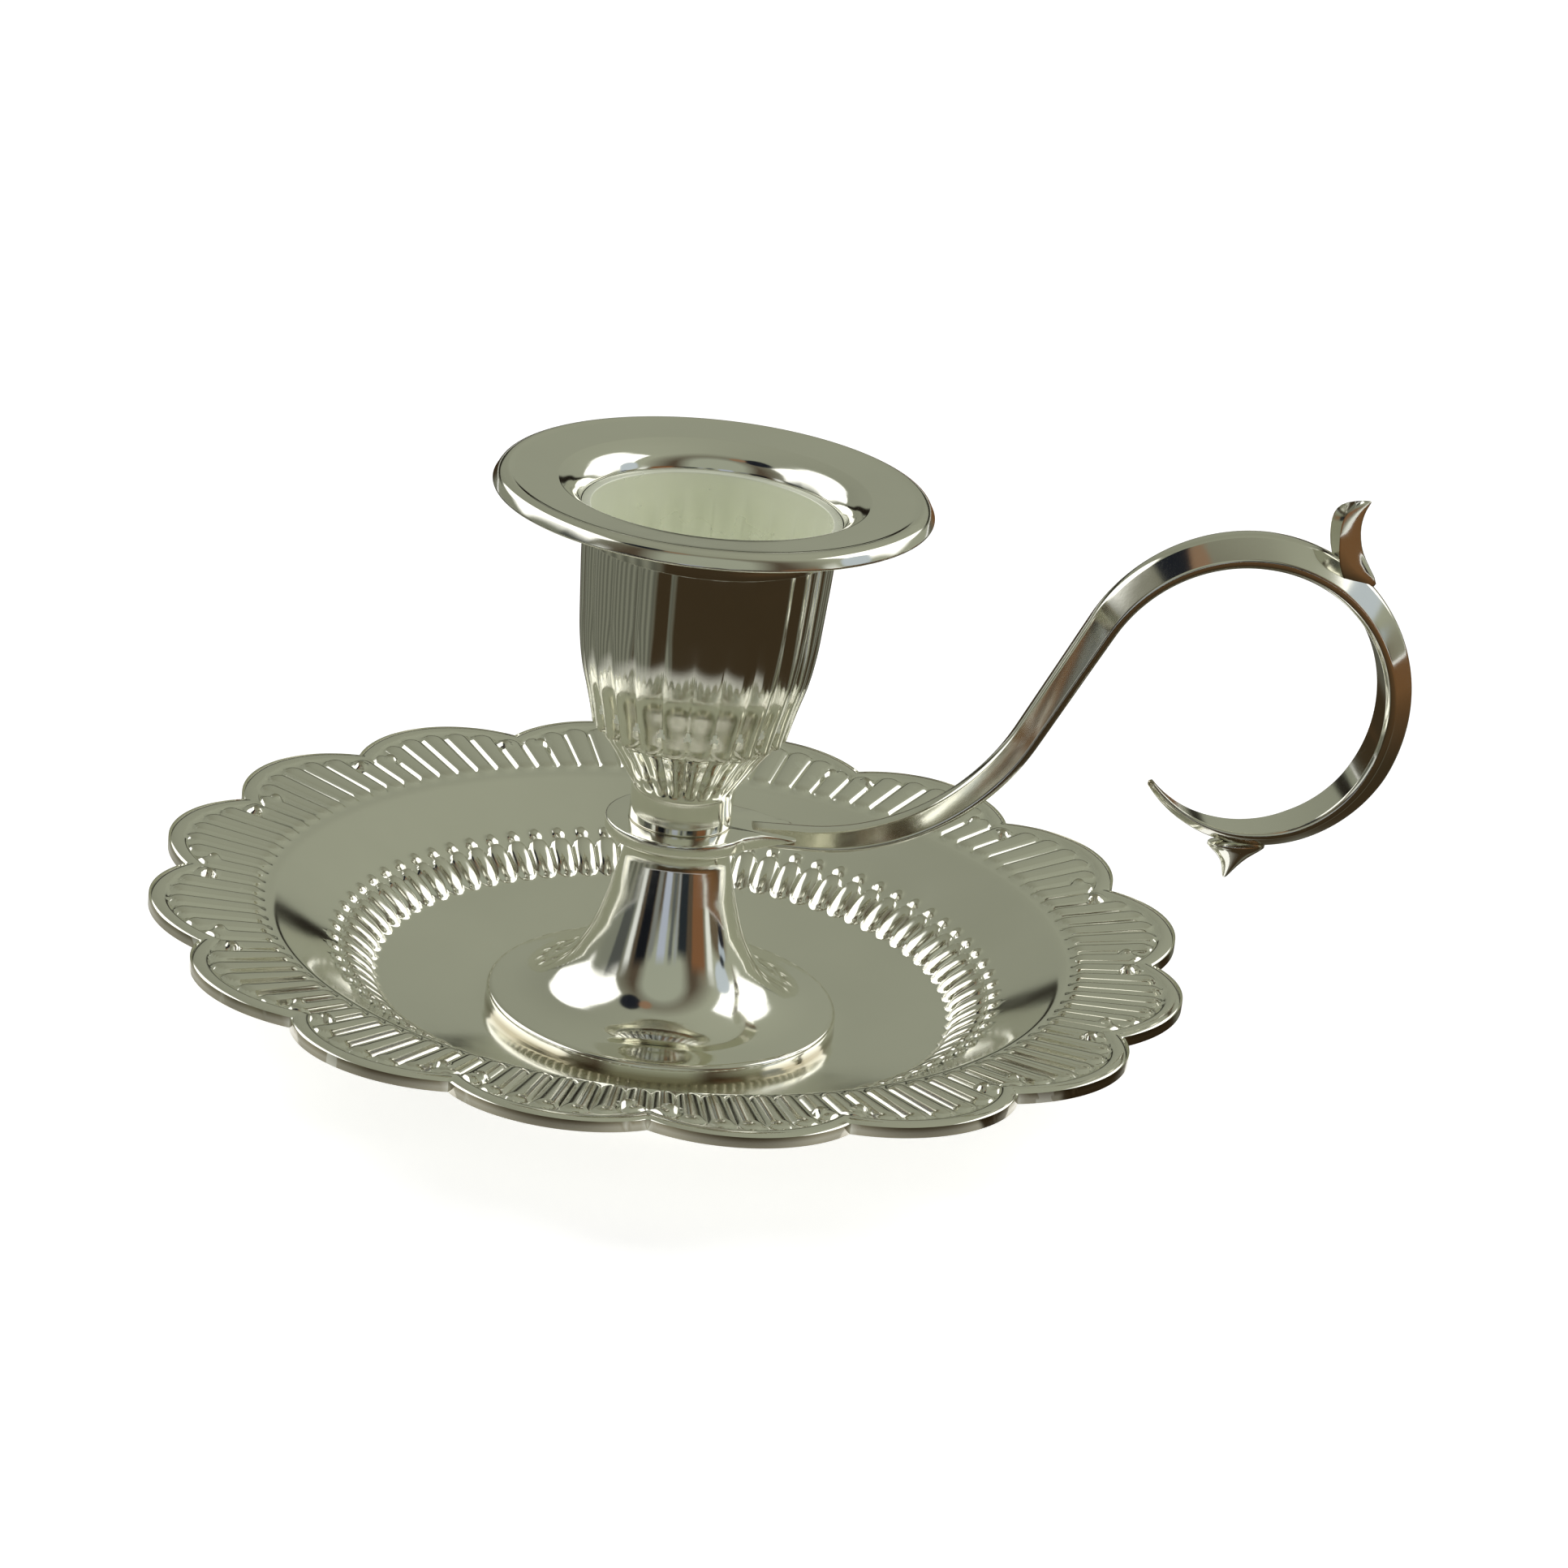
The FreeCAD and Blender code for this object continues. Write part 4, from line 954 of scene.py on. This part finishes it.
def painted_grid(name, points, colours):
    """A glowing stage mesh over a grid of points; only mirrors see it."""
    rows, columns = points.shape[:2]
    index = np.arange(rows * columns).reshape(rows, columns)
    quads = np.stack([index[:-1, :-1], index[:-1, 1:], index[1:, 1:], index[1:, :-1]], axis=-1)
    mesh = bpy.data.meshes.new(name)
    mesh.from_pydata(points.reshape(-1, 3).tolist(), [], quads.reshape(-1, 4).tolist())
    paint = mesh.attributes.new("paint", "FLOAT_COLOR", "POINT")
    rgba = np.concatenate([colours.reshape(-1, 3), np.ones((rows * columns, 1))], axis=1)
    paint.data.foreach_set("color", rgba.astype(np.float32).ravel())
    mesh.materials.append(painted_shader(name))
    piece = bpy.data.objects.new(name, mesh)
    bpy.context.scene.collection.objects.link(piece)
    for ray in ("camera", "diffuse", "transmission", "volume_scatter", "shadow"):
        setattr(piece, f"visible_{ray}", False)
    piece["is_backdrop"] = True
    print(f"{name}: {rows} by {columns} painted points")


def turned_with_camera(x, y, z):
    """Points given as (right, away, up) of the camera, in the part's own frame."""
    cos, sin = math.cos(CAMERA_AZIMUTH), math.sin(CAMERA_AZIMUTH)
    return np.stack([x * cos - y * sin, x * sin + y * cos, z], axis=-1)


TENT_RADIUS = 2.5
TENT_FOOT = -4
around, rise = np.meshgrid(np.radians(np.arange(0, 361, 1.0)),
                           np.radians(np.arange(TENT_FOOT, 90.1, 1.0)))
to_right, away, upward = np.cos(rise) * np.cos(around), np.cos(rise) * np.sin(around), np.sin(rise)
painted_grid("tent", TENT_RADIUS * turned_with_camera(to_right, away, upward),
             tent_colour(to_right, away, upward))

# %% [markdown]
# The real cup's front and the outside of its loop mirror something black and brown.
# The pale floor can't give that, so a dark card lies round the object, as a studio lays black
# card round silverware. It starts a little outside the saucer and begins pale, so the saucer's edge
# stays pale too. It is black in front and brown to the right, grey cloth to the left, and two light
# lines break it on the right.

# %% Dark card
CARD_INNER = 0.052
CARD_OUTER = 1.2
CARD_HEIGHT = 0.0004
# the black and the brown that the card glows with, in front and to the right
BLACK_TONE = np.array((0.042, 0.029, 0.015))
BROWN_TONE = np.array((0.16, 0.082, 0.035))
GREY_CLOTH = np.array((0.21, 0.215, 0.17))
WHITE_FLOOR = np.array((0.55, 0.55, 0.50))
LIGHT_LINES = (98, 114)
reach, around = np.meshgrid(np.geomspace(CARD_INNER, CARD_OUTER, 60), np.radians(np.arange(0, 361, 2.0)),
                            indexing="ij")
card_x, card_y = np.cos(around), np.sin(around)
from_front = np.degrees(np.arctan2(card_x, -card_y))
far = softly(np.log(reach), math.log(0.17), 0.8)
brown = (softly(from_front, 30, 30) * far)[..., None]
in_front = softly(from_front, -40, 12) * softly(132 - from_front, 0, 12)
behind = softly(np.abs(from_front), 152, 10)
lines = sum(softly(3 - np.abs(from_front - line), 0, 3) for line in LIGHT_LINES)
dark = (np.maximum(in_front, behind) * (1 - 0.8 * lines * softly(0.15, reach, 0.03)))[..., None]
slats = (0.75 + 0.25 * np.sin(np.radians(from_front) * 26))[..., None]
pale_until = np.where(np.abs(from_front - 92) < 40, 0.053, 0.068)
near = softly(pale_until, reach, 0.012)[..., None]
card_colour = BLACK_TONE * (1 - brown) + BROWN_TONE * brown
card_colour = card_colour * dark + GREY_CLOTH * slats * (1 - dark)
card_colour = card_colour * (1 - near) + WHITE_FLOOR * near
card_points = turned_with_camera(reach * card_x, reach * card_y, np.full_like(reach, CARD_HEIGHT))
painted_grid("dark_card", card_points, card_colour)

# %% [markdown]
# Two soft lamps stand left and right, a little behind the object. They light the floor and draw
# the object's soft shadow. Mirrors don't see the lamps themselves, because the tent's windows
# already stand for them.

# %% Soft boxes
BOX_SIDE = 0.30
BOX_DISTANCE = 0.55
BOX_RADIANCE = 3.0
BOX_AIM = Vector((0, 0, 0.03))


def soft_box(name, direction):
    """An area lamp that faces the object from a direction given in the camera's own frame."""
    lamp = bpy.data.lights.new(name, "AREA")
    lamp.shape = "RECTANGLE"
    lamp.size, lamp.size_y = BOX_SIDE, BOX_SIDE
    lamp.energy = BOX_RADIANCE * math.pi * BOX_SIDE**2
    lamp.color = SOFT_WHITE
    box = bpy.data.objects.new(name, lamp)
    bpy.context.scene.collection.objects.link(box)
    toward = Matrix.Rotation(CAMERA_AZIMUTH, 3, "Z") @ Vector(direction).normalized()
    box.location = BOX_AIM + toward * BOX_DISTANCE
    box.rotation_euler = toward.to_track_quat("Z", "Y").to_euler()
    box.visible_camera = False
    box.visible_glossy = False
    print(f"{name}: {BOX_SIDE} m square at {BOX_DISTANCE} m")


soft_box("left_soft_box", (-0.70, 0.22, 0.68))
soft_box("right_soft_box", (0.70, 0.22, 0.68))

# %% [markdown]
# ## Set the view and print the size
# The dressed object must fill the same box as the CAD part, so both boxes are printed.

# %% Sizes and finish
bpy.context.scene.view_settings.view_transform = "Standard"
shown_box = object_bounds()
for label, box in (("CAD", cad_box), ("dressed", shown_box)):
    print(label, "box in mm:", [round(c / MM, 2) for c in box[0]], [round(c / MM, 2) for c in box[1]])
